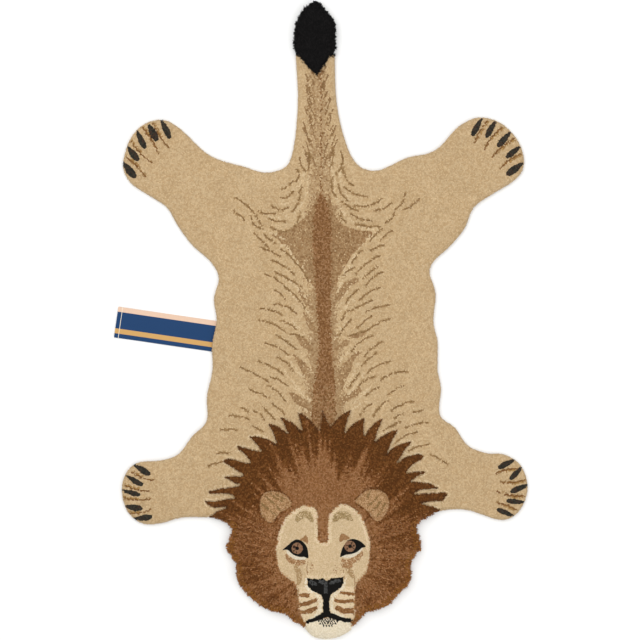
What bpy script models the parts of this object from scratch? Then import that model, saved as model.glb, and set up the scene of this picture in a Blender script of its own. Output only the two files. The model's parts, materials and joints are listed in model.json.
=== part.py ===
# A child's tufted wool rug in the shape of a lion's hide, lying flat, with a woven label
# sewn under its left edge.
#
# Metres, +Z up. The rug lies on z = 0 with its head towards -Y and its tail towards +Y.
# Sizes in the tables are measured from the spine line, which runs SPINE_X to the right of
# the origin, so that the origin is the middle of the whole rug with its label.

from collections import namedtuple
from math import atan2, ceil, cos, pi, radians, sin
import random

import bmesh
import bpy
from mathutils import Matrix, Vector, noise
from mathutils.geometry import delaunay_2d_cdt
from mathutils.kdtree import KDTree

# ---- driving dimensions -------------------------------------------------------------------

SPINE_X = 0.0085
RUG_LENGTH = 1.500

BODY_HEIGHT = 0.014
MANE_HEIGHT = 0.022
FACE_HEIGHT = 0.016
EAR_HEIGHT = 0.020
EAR_GROOVE_HEIGHT = 0.0165
TUFT_HEIGHT = 0.024

RIM_BULGE_HEIGHT = 0.006
RIM_BASE_INSET = 0.004
RIM_TOP_INSET = 0.006
RIM_TOP_DROP = 0.002
FOOT_DROP = 0.001

RIM_STEP = 0.015
BODY_GRID = 0.023
HEAD_GRID = 0.012
TUFT_GRID = 0.012
HEAD_TOP_Y = -0.200
TUFT_END_Y = 0.570

MANE_LOCK_DEPTH = 0.006
MANE_LOCK_PITCH = 0.017
TUFT_LOCK_DEPTH = 0.007
TUFT_LOCK_PITCH = 0.013

STEP_WIDTH = 0.0040
SPIKE_BELLY = 0.09
MITRE_LIMIT = 1.8
ZONE_MARGIN = 0.012
CREASE_DEPTH = 0.0035
CREASE_HALF_WIDTH = 0.0055

LABEL_WIDTH = 0.073
LABEL_VISIBLE = 0.234
LABEL_TUCK = 0.024
LABEL_THICKNESS = 0.0014
LABEL_HEM_WIDTH = 0.010
LABEL_HEM_THICKNESS = 0.0026
LABEL_ROOT = (-0.258, -0.038)
LABEL_TURN = radians(-8.3)
CLEARANCE = 0.0004

# ---- the outline, a row for each place along the body, tail first ------------------------------

Row = namedtuple("Row", "name left right locks")

OUTLINE = [
    Row("tuft_tip", (-0.028, 0.748), (-0.012, 0.747), "tuft"),
    Row("tuft_shoulder", (-0.050, 0.730), (0.004, 0.729), "tuft"),
    Row("tuft_side", (-0.064, 0.703), (0.024, 0.703), "tuft"),
    Row("tuft_widest", (-0.071, 0.670), (0.028, 0.672), "tuft"),
    Row("tuft_low", (-0.068, 0.632), (0.026, 0.632), "none"),
    Row("tail_middle", (-0.062, 0.538), (0.028, 0.538), "none"),
    Row("tail_lower", (-0.064, 0.472), (0.037, 0.472), "none"),
    Row("tail_root", (-0.071, 0.413), (0.052, 0.418), "none"),
    Row("tail_flare", (-0.081, 0.375), (0.068, 0.381), "none"),
    Row("rump_corner", (-0.099, 0.356), (0.092, 0.358), "none"),
    Row("rump", (-0.141, 0.348), (0.131, 0.354), "none"),
    Row("hip", (-0.191, 0.363), (0.196, 0.383), "none"),
    Row("hip_end", (-0.240, 0.376), (0.245, 0.393), "none"),
    Row("hock", (-0.280, 0.396), (0.276, 0.412), "none"),
    Row("hind_instep", (-0.335, 0.448), (0.316, 0.456), "none"),
    Row("hind_paw_top", (-0.377, 0.472), (0.365, 0.478), "none"),
    Row("hind_toe_inner", (-0.422, 0.463), (0.417, 0.464), "none"),
    Row("hind_toe_middle", (-0.454, 0.432), (0.453, 0.429), "none"),
    Row("hind_toe_outer", (-0.470, 0.389), (0.470, 0.389), "none"),
    Row("hind_paw_end", (-0.473, 0.356), (0.468, 0.354), "none"),
    Row("hind_pad", (-0.454, 0.321), (0.445, 0.326), "none"),
    Row("hind_heel", (-0.410, 0.292), (0.391, 0.293), "none"),
    Row("hind_shank", (-0.369, 0.264), (0.352, 0.264), "none"),
    Row("knee", (-0.344, 0.221), (0.332, 0.217), "none"),
    Row("thigh", (-0.311, 0.177), (0.297, 0.174), "none"),
    Row("flank", (-0.266, 0.136), (0.260, 0.140), "none"),
    Row("waist", (-0.248, 0.099), (0.249, 0.111), "none"),
    Row("belly_bulge", (-0.260, 0.050), (0.263, 0.064), "none"),
    Row("belly_middle", (-0.253, 0.000), (0.258, -0.004), "none"),
    Row("belly_low", (-0.264, -0.058), (0.268, -0.051), "none"),
    Row("chest", (-0.263, -0.117), (0.268, -0.117), "none"),
    Row("chest_low", (-0.276, -0.179), (0.276, -0.160), "none"),
    Row("armpit", (-0.277, -0.238), (0.273, -0.223), "none"),
    Row("shoulder", (-0.311, -0.273), (0.309, -0.253), "none"),
    Row("fore_shank", (-0.343, -0.315), (0.339, -0.295), "none"),
    Row("wrist", (-0.387, -0.330), (0.384, -0.313), "none"),
    Row("fore_paw_top", (-0.436, -0.334), (0.422, -0.315), "none"),
    Row("fore_toe_inner", (-0.463, -0.354), (0.460, -0.337), "none"),
    Row("fore_toe_middle", (-0.476, -0.388), (0.479, -0.381), "none"),
    Row("fore_toe_outer", (-0.473, -0.426), (0.474, -0.424), "none"),
    Row("fore_paw_end", (-0.457, -0.459), (0.450, -0.460), "none"),
    Row("fore_pad", (-0.424, -0.480), (0.415, -0.471), "none"),
    Row("fore_heel", (-0.382, -0.478), (0.372, -0.458), "none"),
    Row("forearm", (-0.335, -0.465), (0.330, -0.446), "none"),
    Row("elbow", (-0.278, -0.465), (0.276, -0.449), "mane"),
    Row("mane_shoulder", (-0.245, -0.470), (0.247, -0.462), "mane"),
    Row("mane_notch", (-0.216, -0.492), (0.218, -0.484), "mane"),
    Row("mane_cheek", (-0.230, -0.536), (0.229, -0.532), "mane"),
    Row("mane_cheek_notch", (-0.208, -0.572), (0.207, -0.566), "mane"),
    Row("mane_jaw", (-0.205, -0.612), (0.202, -0.617), "mane"),
    Row("mane_jaw_notch", (-0.184, -0.642), (0.172, -0.647), "mane"),
    Row("mane_beard_outer", (-0.159, -0.664), (0.151, -0.670), "mane"),
    Row("mane_beard_middle", (-0.132, -0.682), (0.125, -0.683), "mane"),
    Row("mane_beard_inner", (-0.094, -0.691), (0.101, -0.687), "mane"),
    Row("mane_beard_end", (-0.064, -0.714), (0.081, -0.710), "none"),
    Row("chin_side", (-0.046, -0.725), (0.065, -0.728), "none"),
    Row("chin_corner", (-0.029, -0.743), (0.042, -0.743), "none"),
    Row("chin_low", (-0.007, -0.750), (0.016, -0.750), "none"),
]

# ---- the mane's pointed locks over the shoulders, from the middle outwards -----------------------

Spike = namedtuple("Spike", "left_valley left_tip right_valley right_tip")

CENTRE_SPIKE = (-0.005, -0.208)
SPIKES = [
    Spike((-0.011, -0.261), (-0.063, -0.214), (0.016, -0.250), (0.066, -0.209)),
    Spike((-0.052, -0.261), (-0.105, -0.227), (0.047, -0.268), (0.097, -0.228)),
    Spike((-0.085, -0.267), (-0.132, -0.242), (0.094, -0.273), (0.140, -0.228)),
    Spike((-0.111, -0.291), (-0.178, -0.272), (0.119, -0.287), (0.176, -0.256)),
    Spike((-0.150, -0.306), (-0.204, -0.297), (0.147, -0.315), (0.207, -0.286)),
    Spike((-0.175, -0.334), (-0.238, -0.327), (0.171, -0.333), (0.233, -0.318)),
    Spike((-0.192, -0.363), (-0.235, -0.366), (0.196, -0.356), (0.238, -0.355)),
    Spike((-0.200, -0.387), (-0.272, -0.402), (0.205, -0.378), (0.271, -0.395)),
    Spike((-0.209, -0.414), (-0.281, -0.424), (0.216, -0.404), (0.289, -0.408)),
    Spike((-0.228, -0.440), (-0.262, -0.452), (0.230, -0.430), (0.262, -0.440)),
]

# The black tuft ends on the tail in a V.
TUFT_LEFT = (-0.060, 0.622)
TUFT_RIGHT = (0.016, 0.622)
TUFT_POINT = (-0.017, 0.574)

# ---- the face, a row for each height from the brow down to the chin --------------------------------

FaceRow = namedtuple("FaceRow", "name left right")

FACE = [
    FaceRow("blaze_end", (-0.008, -0.520), (0.010, -0.520)),
    FaceRow("blaze_side", (-0.015, -0.480), (0.009, -0.480)),
    FaceRow("lobe_inner", (-0.019, -0.446), (0.017, -0.451)),
    FaceRow("lobe_top", (-0.049, -0.436), (0.045, -0.432)),
    FaceRow("lobe_outer", (-0.087, -0.461), (0.083, -0.455)),
    FaceRow("temple", (-0.106, -0.500), (0.103, -0.499)),
    FaceRow("cheek_bone", (-0.112, -0.545), (0.108, -0.540)),
    FaceRow("cheek", (-0.102, -0.590), (0.100, -0.588)),
    FaceRow("cheek_point", (-0.066, -0.622), (0.076, -0.620)),
    FaceRow("muzzle_side", (-0.061, -0.660), (0.073, -0.665)),
    FaceRow("muzzle_corner", (-0.054, -0.692), (0.072, -0.692)),
    FaceRow("mouth_corner", (-0.041, -0.710), (0.061, -0.706)),
    FaceRow("mouth_middle", (-0.004, -0.700), (0.016, -0.700)),
]

Bump = namedtuple("Bump", "name x y half_width half_length rise")

FACE_BUMPS = [
    Bump("left_muzzle_pad", -0.033, -0.670, 0.026, 0.030, 0.005),
    Bump("right_muzzle_pad", 0.042, -0.668, 0.026, 0.030, 0.005),
    Bump("nose", 0.004, -0.622, 0.030, 0.018, 0.005),
    Bump("nose_bridge", 0.004, -0.570, 0.024, 0.060, 0.003),
    Bump("left_eye_hollow", -0.062, -0.537, 0.028, 0.016, -0.002),
    Bump("right_eye_hollow", 0.064, -0.531, 0.028, 0.016, -0.002),
    Bump("left_brow", -0.052, -0.470, 0.030, 0.020, 0.003),
    Bump("right_brow", 0.047, -0.466, 0.030, 0.020, 0.003),
    Bump("chin", 0.006, -0.725, 0.040, 0.022, 0.003),
]

Ear = namedtuple("Ear", "name x y radius cut_distance cut_turn")

EARS = [
    Ear("left_ear", -0.116, -0.438, 0.035, 0.022, radians(-39)),
    Ear("right_ear", 0.115, -0.432, 0.036, 0.023, radians(-129)),
]
EAR_SIDES = 18

# ---- carved creases: between the toes and down from the nose -----------------------

Crease = namedtuple("Crease", "name start end")

CREASES = [
    Crease("hind_left_1", (-0.388, 0.450), (-0.362, 0.408)),
    Crease("hind_left_2", (-0.417, 0.440), (-0.388, 0.394)),
    Crease("hind_left_3", (-0.439, 0.411), (-0.404, 0.374)),
    Crease("hind_left_4", (-0.452, 0.375), (-0.418, 0.342)),
    Crease("hind_right_1", (0.374, 0.452), (0.353, 0.415)),
    Crease("hind_right_2", (0.408, 0.440), (0.377, 0.404)),
    Crease("hind_right_3", (0.430, 0.414), (0.396, 0.383)),
    Crease("hind_right_4", (0.448, 0.379), (0.414, 0.360)),
    Crease("fore_left_1", (-0.440, -0.350), (-0.406, -0.364)),
    Crease("fore_left_2", (-0.456, -0.378), (-0.412, -0.388)),
    Crease("fore_left_3", (-0.458, -0.412), (-0.412, -0.410)),
    Crease("fore_left_4", (-0.448, -0.442), (-0.408, -0.436)),
    Crease("fore_right_1", (0.440, -0.352), (0.405, -0.358)),
    Crease("fore_right_2", (0.458, -0.378), (0.414, -0.384)),
    Crease("fore_right_3", (0.455, -0.414), (0.405, -0.402)),
    Crease("fore_right_4", (0.438, -0.440), (0.407, -0.430)),
    Crease("philtrum", (0.004, -0.642), (0.005, -0.684)),
]

# ---- finishes -----------------------------------------------------------------------------------

Finish = namedtuple("Finish", "colour roughness")

FINISHES = {
    "sand_pile": Finish((0.60, 0.42, 0.22), 0.95),
    "mane_pile": Finish((0.20, 0.08, 0.03), 0.95),
    "face_pile": Finish((0.66, 0.48, 0.27), 0.95),
    "tuft_pile": Finish((0.008, 0.008, 0.009), 0.90),
    "label_cloth": Finish((0.03, 0.07, 0.16), 0.80),
}
PILE_ORDER = ["sand_pile", "mane_pile", "face_pile", "tuft_pile"]

WHOLE_HULL = 0
MERGE_DISTANCE = 1e-5
SPLINE_TENSION = 0.5
JITTER = 0.18
LUMP_SIZE = 0.045
MANE_LUMP_SIZE = 0.030
MANE_LUMP = 0.0028
BODY_LUMP = 0.0007
HEAD_CENTRE = (0.002, -0.540)
FURROWS = 22
FURROW_RISE = 0.0015
SEED = 11


# ---- scene and materials --------------------------------------------------------------------------

def clear_scene():
    for thing in list(bpy.data.objects):
        bpy.data.objects.remove(thing, do_unlink=True)


def new_collection(name):
    collection = bpy.data.collections.new(name)
    bpy.context.scene.collection.children.link(collection)
    return collection


def make_material(name):
    finish = FINISHES[name]
    material = bpy.data.materials.new(name)
    material.use_nodes = True
    shader = material.node_tree.nodes["Principled BSDF"]
    shader.inputs["Base Color"].default_value = (*finish.colour, 1.0)
    shader.inputs["Roughness"].default_value = finish.roughness
    shader.inputs["Metallic"].default_value = 0.0
    return material


def add_object(name, mesh_builder, collection):
    mesh = bpy.data.meshes.new(name)
    mesh_builder.to_mesh(mesh)
    mesh_builder.free()
    thing = bpy.data.objects.new(name, mesh)
    collection.objects.link(thing)
    return thing


# ---- outline --------------------------------------------------------------------------------------

def spline_point(before, start, end, after, t):
    """A point on the cardinal spline from start to end."""
    leave = (end - before) * SPLINE_TENSION
    arrive = (after - start) * SPLINE_TENSION
    return (
        start * (2 * t**3 - 3 * t**2 + 1)
        + leave * (t**3 - 2 * t**2 + t)
        + end * (-2 * t**3 + 3 * t**2)
        + arrive * (t**3 - t**2)
    )


def lock_profile(step, depth, rng):
    """Every second point of a ragged rim is a tip, the others are the notches between locks."""
    reach = depth * rng.uniform(0.5, 1.0)
    return reach if step % 2 else -0.35 * reach


def outline_ring():
    """The rug's outline, counter-clockwise from the tail's tip, as smooth runs and ragged ones."""
    rng = random.Random(SEED)
    left = [(Vector(row.left), row.locks) for row in OUTLINE]
    right = [(Vector(row.right), row.locks) for row in OUTLINE]
    # A run on the right goes up from the row below, so it takes the kind of the row that it reaches.
    kinds = [kind for _, kind in left[:-1]] + ["none"] + [kind for _, kind in reversed(right[:-1])] + ["tuft"]
    corners = [point for point, _ in left] + [point for point, _ in reversed(right)]
    depths = {"mane": MANE_LOCK_DEPTH, "tuft": TUFT_LOCK_DEPTH}
    pitches = {"mane": MANE_LOCK_PITCH, "tuft": TUFT_LOCK_PITCH}
    count = len(corners)
    ring = []
    for index, start in enumerate(corners):
        before = corners[index - 1]
        end = corners[(index + 1) % count]
        after = corners[(index + 2) % count]
        kind = kinds[index]
        length = (end - start).length
        if kind == "none":
            steps = ceil(length / RIM_STEP)
        else:
            steps = 2 * max(1, round(length / pitches[kind]))
        for step in range(steps):
            point = spline_point(before, start, end, after, step / steps)
            if kind != "none":
                ahead = spline_point(before, start, end, after, (step + 0.5) / steps)
                way = (ahead - point).normalized()
                outward = Vector((way.y, -way.x))
                point += outward * lock_profile(step, depths[kind], rng)
            ring.append(point)
    return ring


def inset(ring, distance, closed=True):
    """The ring moved to its left, which is inwards on a counter-clockwise ring."""
    moved = []
    last = len(ring) - 1
    for index, point in enumerate(ring):
        before = ring[index - 1] if closed or index else None
        after = ring[(index + 1) % len(ring)] if closed or index < last else None
        arriving = (point - (before or 2 * point - after)).normalized()
        leaving = ((after or 2 * point - before) - point).normalized()
        way = (arriving + leaving).normalized()
        stretch = min(MITRE_LIMIT, 1.0 / max(way.dot(leaving), 0.1))
        moved.append(point + Vector((-way.y, way.x)) * distance * stretch)
    return moved


# ---- zones of the pile ------------------------------------------------------------------------------

def inside(point, polygon):
    """True where the point lies in the closed polygon."""
    found = False
    previous = polygon[-1]
    for corner in polygon:
        if (corner.y > point.y) != (previous.y > point.y):
            run = (point.y - previous.y) / (corner.y - previous.y)
            if point.x < previous.x + run * (corner.x - previous.x):
                found = not found
        previous = corner
    return found


def spike_line():
    """The mane's upper edge, from its left end over the middle to its right end, with full-bellied locks."""
    left = []
    right = []
    for spike in SPIKES:
        left += [Vector(spike.left_valley), Vector(spike.left_tip)]
        right += [Vector(spike.right_valley), Vector(spike.right_tip)]
    corners = left[::-1] + [Vector(CENTRE_SPIKE)] + right
    line = [corners[0]]
    for start, end in zip(corners, corners[1:]):
        side = end - start
        belly = Vector((-side.y, side.x)) * SPIKE_BELLY
        line += [(start + end) / 2 + belly, end]
    return line


def smooth_loop(corners, step):
    """A closed smooth loop through the corners with a point about every step."""
    loop = []
    count = len(corners)
    for index, start in enumerate(corners):
        before = corners[index - 1]
        end = corners[(index + 1) % count]
        after = corners[(index + 2) % count]
        steps = max(1, round((end - start).length / step))
        for number in range(steps):
            loop.append(spline_point(before, start, end, after, number / steps))
    return loop


def rows_from(table, name):
    return table[[row.name for row in table].index(name):]


def mane_zone():
    """The mane's area, drawn past its ragged rim."""
    rim_rows = rows_from(OUTLINE, "elbow")
    rim = [Vector(row.right) for row in rim_rows] + [Vector(row.left) for row in reversed(rim_rows)]
    return spike_line() + inset(rim, ZONE_MARGIN, closed=False)


def chin_zone():
    """The pale chin under the mouth, drawn past the rim."""
    rim_rows = rows_from(OUTLINE, "chin_side")
    rim = [Vector(row.left) for row in rim_rows] + [Vector(row.right) for row in reversed(rim_rows)]
    mouth_rows = rows_from(FACE, "mouth_corner")
    mouth = [Vector(row.right) for row in mouth_rows] + [Vector(row.left) for row in reversed(mouth_rows)]
    return inset(rim, -ZONE_MARGIN, closed=False) + mouth


def tuft_zone():
    top = RUG_LENGTH
    left = Vector(TUFT_LEFT)
    right = Vector(TUFT_RIGHT)
    return [
        left + Vector((-0.03, 0.004)), left, Vector(TUFT_POINT), right, right + Vector((0.03, 0.004)),
        Vector((right.x + 0.03, top)), Vector((left.x - 0.03, top)),
    ]


def face_corners():
    left = [Vector(row.left) for row in FACE]
    right = [Vector(row.right) for row in reversed(FACE)]
    return left + right


def ear_ring(ear, shrink):
    """A round ear cut straight on the side of the forehead."""
    ring = []
    for number in range(EAR_SIDES):
        angle = 2 * pi * number / EAR_SIDES
        towards_cut = cos(angle - ear.cut_turn)
        reach = ear.radius
        if towards_cut > 0.0:
            reach = min(reach, ear.cut_distance / max(towards_cut, 0.01))
        reach -= shrink
        ring.append(Vector((ear.x + reach * cos(angle), ear.y + reach * sin(angle))))
    return ring


class Pile:
    """The heights and kinds of pile over the whole rug."""

    def __init__(self):
        self.mane = mane_zone()
        self.tuft = tuft_zone()
        self.face = smooth_loop(face_corners(), HEAD_GRID)
        self.ears = [ear_ring(ear, 0.0) for ear in EARS]
        self.chin = chin_zone()

    def kind(self, point):
        if inside(point, self.tuft):
            return "tuft_pile"
        if inside(point, self.face) or inside(point, self.chin):
            return "face_pile"
        if any(inside(point, ear) for ear in self.ears):
            return "face_pile"
        if inside(point, self.mane):
            return "mane_pile"
        return "sand_pile"

    def height(self, point):
        kind = self.kind(point)
        if kind == "tuft_pile":
            return TUFT_HEIGHT + MANE_LUMP * lump(point, MANE_LUMP_SIZE)
        if kind == "mane_pile":
            return MANE_HEIGHT + MANE_LUMP * lump(point, MANE_LUMP_SIZE) + FURROW_RISE * furrow(point)
        if kind == "sand_pile":
            return BODY_HEIGHT + BODY_LUMP * lump(point, LUMP_SIZE)
        if any(inside(point, ear) for ear in self.ears):
            return EAR_HEIGHT
        return FACE_HEIGHT + sum(bump_rise(bump, point) for bump in FACE_BUMPS)


def lump(point, size):
    """Uneven pile, between -1 and 1."""
    return noise.noise(Vector((point.x, point.y, 0.0)) / size)


def furrow(point):
    """Soft furrows that fan out from the middle of the head, between -1 and 1."""
    away = point - Vector(HEAD_CENTRE)
    return cos(FURROWS * atan2(away.y, away.x) + 2.0 * lump(point, LUMP_SIZE))


def bump_rise(bump, point):
    across = (point.x - bump.x) / bump.half_width
    along = (point.y - bump.y) / bump.half_length
    reach = across**2 + along**2
    return bump.rise * max(0.0, 1.0 - 0.5 * reach) ** 2


# ---- the upper surface ---------------------------------------------------------------------------------

class Sheet:
    """Points and lines that the upper surface has to keep, with the height at each point."""

    def __init__(self):
        self.points = []
        self.heights = []
        self.lines = []

    def add_line(self, points, heights, closed):
        first = len(self.points)
        self.points += points
        self.heights += heights
        count = len(points)
        self.lines += [(first + number, first + number + 1) for number in range(count - 1)]
        if closed:
            self.lines.append((first + count - 1, first))

    def add_scattered(self, points, heights, spacing):
        """Adds the points that keep clear of every point so far."""
        tree = KDTree(len(self.points))
        for number, point in enumerate(self.points):
            tree.insert(point.to_3d(), number)
        tree.balance()
        for point, height in zip(points, heights):
            if tree.find(point.to_3d())[2] > spacing:
                self.points.append(point)
                self.heights.append(height)


def staggered_grid(low, high, spacing, rng):
    """Points in staggered rows, each moved a little."""
    points = []
    row_height = spacing * 0.87
    rows = ceil((high.y - low.y) / row_height)
    columns = ceil((high.x - low.x) / spacing)
    for row in range(rows):
        for column in range(columns):
            x = low.x + (column + 0.5 * (row % 2)) * spacing
            y = low.y + row * row_height
            shift = Vector((rng.uniform(-1, 1), rng.uniform(-1, 1))) * JITTER * spacing
            points.append(Vector((x, y)) + shift)
    return points


def add_step_line(sheet, line, low_side, pile, closed=False):
    """An edge between low and high pile: its foot on the line, its crown on the side of the high pile."""
    crown = inset(line, -low_side * STEP_WIDTH, closed)
    foot_heights = [min(pile.height(spot) for spot in around(point)) - FOOT_DROP for point in line]
    crown_heights = [max(pile.height(spot) for spot in around(point)) - RIM_TOP_DROP for point in crown]
    sheet.add_line(line, foot_heights, closed)
    sheet.add_line(crown, crown_heights, closed)


def around(point):
    """The spots just beside a point, one in each direction."""
    turns = [pi * number / 4 for number in range(8)]
    return [point + Vector((cos(turn), sin(turn))) * STEP_WIDTH for turn in turns]


def add_crease(sheet, crease, pile):
    """A narrow V: a low line with a line of full height along each side."""
    start = Vector(crease.start)
    end = Vector(crease.end)
    middle = (start + end) / 2
    way = (end - start).normalized()
    side = Vector((-way.y, way.x)) * CREASE_HALF_WIDTH
    centre = [start, middle, end]
    low = [pile.height(start) - CREASE_DEPTH / 2, pile.height(middle) - CREASE_DEPTH, pile.height(end)]
    sheet.add_line(centre, low, False)
    for flank in (side, -side):
        points = [point + flank for point in (start, middle, end)]
        sheet.add_line(points, [pile.height(point) for point in points], False)


def upper_sheet(top_ring, pile):
    rng = random.Random(SEED + 1)
    sheet = Sheet()
    sheet.add_line(top_ring, [pile.height(point) - RIM_TOP_DROP for point in top_ring], True)
    add_step_line(sheet, spike_line(), 1, pile)
    tuft_edge = [Vector(TUFT_LEFT), (Vector(TUFT_LEFT) + Vector(TUFT_POINT)) / 2, Vector(TUFT_POINT),
                 (Vector(TUFT_RIGHT) + Vector(TUFT_POINT)) / 2, Vector(TUFT_RIGHT)]
    add_step_line(sheet, tuft_edge, -1, pile)
    add_step_line(sheet, pile.face, 1, pile, closed=True)
    for ear in EARS:
        for shrink, height in ((-STEP_WIDTH, MANE_HEIGHT), (0.0, EAR_GROOVE_HEIGHT), (STEP_WIDTH, EAR_HEIGHT)):
            ring = ear_ring(ear, shrink)
            sheet.add_line(ring, [height] * len(ring), True)
    for crease in CREASES:
        add_crease(sheet, crease, pile)

    low = Vector((min(point.x for point in top_ring), min(point.y for point in top_ring)))
    high = Vector((max(point.x for point in top_ring), max(point.y for point in top_ring)))
    fields = [
        (Vector((low.x, low.y)), Vector((high.x, HEAD_TOP_Y)), HEAD_GRID, ("mane_pile", "face_pile")),
        (Vector((low.x, TUFT_END_Y)), Vector((high.x, high.y)), TUFT_GRID, ("tuft_pile",)),
        (low, high, BODY_GRID, ("sand_pile",)),
    ]
    for field_low, field_high, spacing, kinds in fields:
        spots = staggered_grid(field_low, field_high, spacing, rng)
        spots = [spot for spot in spots if inside(spot, top_ring) and pile.kind(spot) in kinds]
        sheet.add_scattered(spots, [pile.height(spot) for spot in spots], 0.6 * spacing)
    return sheet


# ---- the rug -----------------------------------------------------------------------------------------

def triangulate_sheet(sheet, ring_size, pile):
    """Fills the ring with triangles that keep every line; returns the mesh and the rim's points."""
    ring = sheet.points[:ring_size]
    spots, _, faces, origins, _, _ = delaunay_2d_cdt(
        sheet.points, sheet.lines, [], WHOLE_HULL, MERGE_DISTANCE, True)
    mesh_builder = bmesh.new()
    rim = [None] * ring_size
    vertices = []
    for spot, origin in zip(spots, origins):
        height = sheet.heights[origin[0]] if origin else pile.height(spot)
        vertex = mesh_builder.verts.new((spot.x, spot.y, height))
        vertices.append(vertex)
        for number in origin:
            if number < ring_size:
                rim[number] = vertex
    for face in faces:
        middle = sum((spots[number] for number in face), Vector((0.0, 0.0))) / len(face)
        if inside(middle, ring):
            mesh_builder.faces.new([vertices[number] for number in face])
    return mesh_builder, rim


def close_underside(mesh_builder, base):
    """Fills the lowest ring with flat triangles."""
    ring = [vertex.co.to_2d() for vertex in base]
    sides = [(number - 1, number) for number in range(1, len(ring))] + [(len(ring) - 1, 0)]
    spots, _, faces, origins, _, _ = delaunay_2d_cdt(ring, sides, [], WHOLE_HULL, MERGE_DISTANCE, True)
    for face in faces:
        middle = sum((spots[number] for number in face), Vector((0.0, 0.0))) / len(face)
        if inside(middle, ring):
            mesh_builder.faces.new([base[origins[number][0]] for number in reversed(face)])


def extrude_rim(mesh_builder, rim, ring, height):
    """Extrudes the open rim to the next ring of points and returns the new rim."""
    edges = [mesh_builder.edges.get((rim[number - 1], rim[number])) for number in range(len(rim))]
    made = bmesh.ops.extrude_edge_only(mesh_builder, edges=edges)["geom"]
    fresh = {part for part in made if isinstance(part, bmesh.types.BMVert)}
    next_rim = []
    for vertex, place in zip(rim, ring):
        follower = next(edge.other_vert(vertex) for edge in vertex.link_edges if edge.other_vert(vertex) in fresh)
        next_rim.append(follower)
        follower.co = (place.x, place.y, height)
    return next_rim


def paint_zones(mesh_builder, pile):
    """Gives each face the material of the pile that it is in."""
    for face in mesh_builder.faces:
        middle = face.calc_center_median()
        inwards = Vector((middle.x, middle.y))
        face.material_index = PILE_ORDER.index(pile.kind(inwards))


def make_rug(collection):
    pile = Pile()
    outline = outline_ring()
    sheet = upper_sheet(inset(outline, RIM_TOP_INSET), pile)
    mesh_builder, rim = triangulate_sheet(sheet, len(outline), pile)
    bulge = extrude_rim(mesh_builder, rim, outline, RIM_BULGE_HEIGHT)
    base = extrude_rim(mesh_builder, bulge, inset(outline, RIM_BASE_INSET), 0.0)
    close_underside(mesh_builder, base)
    bmesh.ops.triangulate(mesh_builder, faces=[face for face in mesh_builder.faces if len(face.verts) > 3])
    bmesh.ops.recalc_face_normals(mesh_builder, faces=mesh_builder.faces)
    paint_zones(mesh_builder, pile)
    rug = add_object("rug", mesh_builder, collection)
    for name in PILE_ORDER:
        rug.data.materials.append(make_material(name))
    rug.location.x = SPINE_X
    return rug


# ---- the label -----------------------------------------------------------------------------------------

def label_place():
    """The middle of the label's visible root, turned as the label lies."""
    return Matrix.Translation((LABEL_ROOT[0] + SPINE_X, LABEL_ROOT[1], 0.0)) @ Matrix.Rotation(LABEL_TURN, 4, "Z")


def box_mesh(low, high):
    mesh_builder = bmesh.new()
    size = [b - a for a, b in zip(low, high)]
    middle = [(a + b) / 2 for a, b in zip(low, high)]
    place = Matrix.Translation(middle) @ Matrix.Diagonal((*size, 1.0))
    bmesh.ops.create_cube(mesh_builder, size=1.0, matrix=place)
    return mesh_builder


def make_label(collection):
    """A flat strip of woven cloth whose outer end is folded over into a hem."""
    mesh_builder = box_mesh((-LABEL_VISIBLE, -LABEL_WIDTH / 2, 0.0), (LABEL_TUCK, LABEL_WIDTH / 2, LABEL_THICKNESS))
    hem_line = -LABEL_VISIBLE + LABEL_HEM_WIDTH
    for cut in (hem_line, hem_line + LABEL_THICKNESS):
        everything = mesh_builder.verts[:] + mesh_builder.edges[:] + mesh_builder.faces[:]
        bmesh.ops.bisect_plane(mesh_builder, geom=everything, plane_co=(cut, 0, 0), plane_no=(1, 0, 0))
    for vertex in mesh_builder.verts:
        if vertex.co.x < hem_line + 1e-5 and vertex.co.z > 0.0:
            vertex.co.z = LABEL_HEM_THICKNESS
    label = add_object("label", mesh_builder, collection)
    label.data.materials.append(make_material("label_cloth"))
    label.matrix_world = label_place()
    return label


def cut_label_pocket(rug, cutters):
    """The label's root lies in a shallow pocket under the rug, a little larger than the label."""
    low = (-2 * LABEL_TUCK, -LABEL_WIDTH / 2 - CLEARANCE, -LABEL_TUCK)
    high = (LABEL_TUCK + CLEARANCE, LABEL_WIDTH / 2 + CLEARANCE, LABEL_THICKNESS + CLEARANCE)
    pocket = add_object("label_pocket", box_mesh(low, high), cutters)
    pocket.matrix_world = label_place()
    pocket.hide_render = True
    pocket.display_type = "WIRE"
    cut = rug.modifiers.new("label_pocket", "BOOLEAN")
    cut.operation = "DIFFERENCE"
    cut.solver = "EXACT"
    cut.object = pocket


def main():
    clear_scene()
    parts = new_collection("lion_rug")
    cutters = new_collection("cutters")
    rug = make_rug(parts)
    make_label(parts)
    cut_label_pocket(rug, cutters)


main()
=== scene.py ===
import json
import math

import bmesh
import bpy
import numpy as np
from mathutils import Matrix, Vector, noise
from mathutils.bvhtree import BVHTree
from mathutils.geometry import delaunay_2d_cdt

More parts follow.
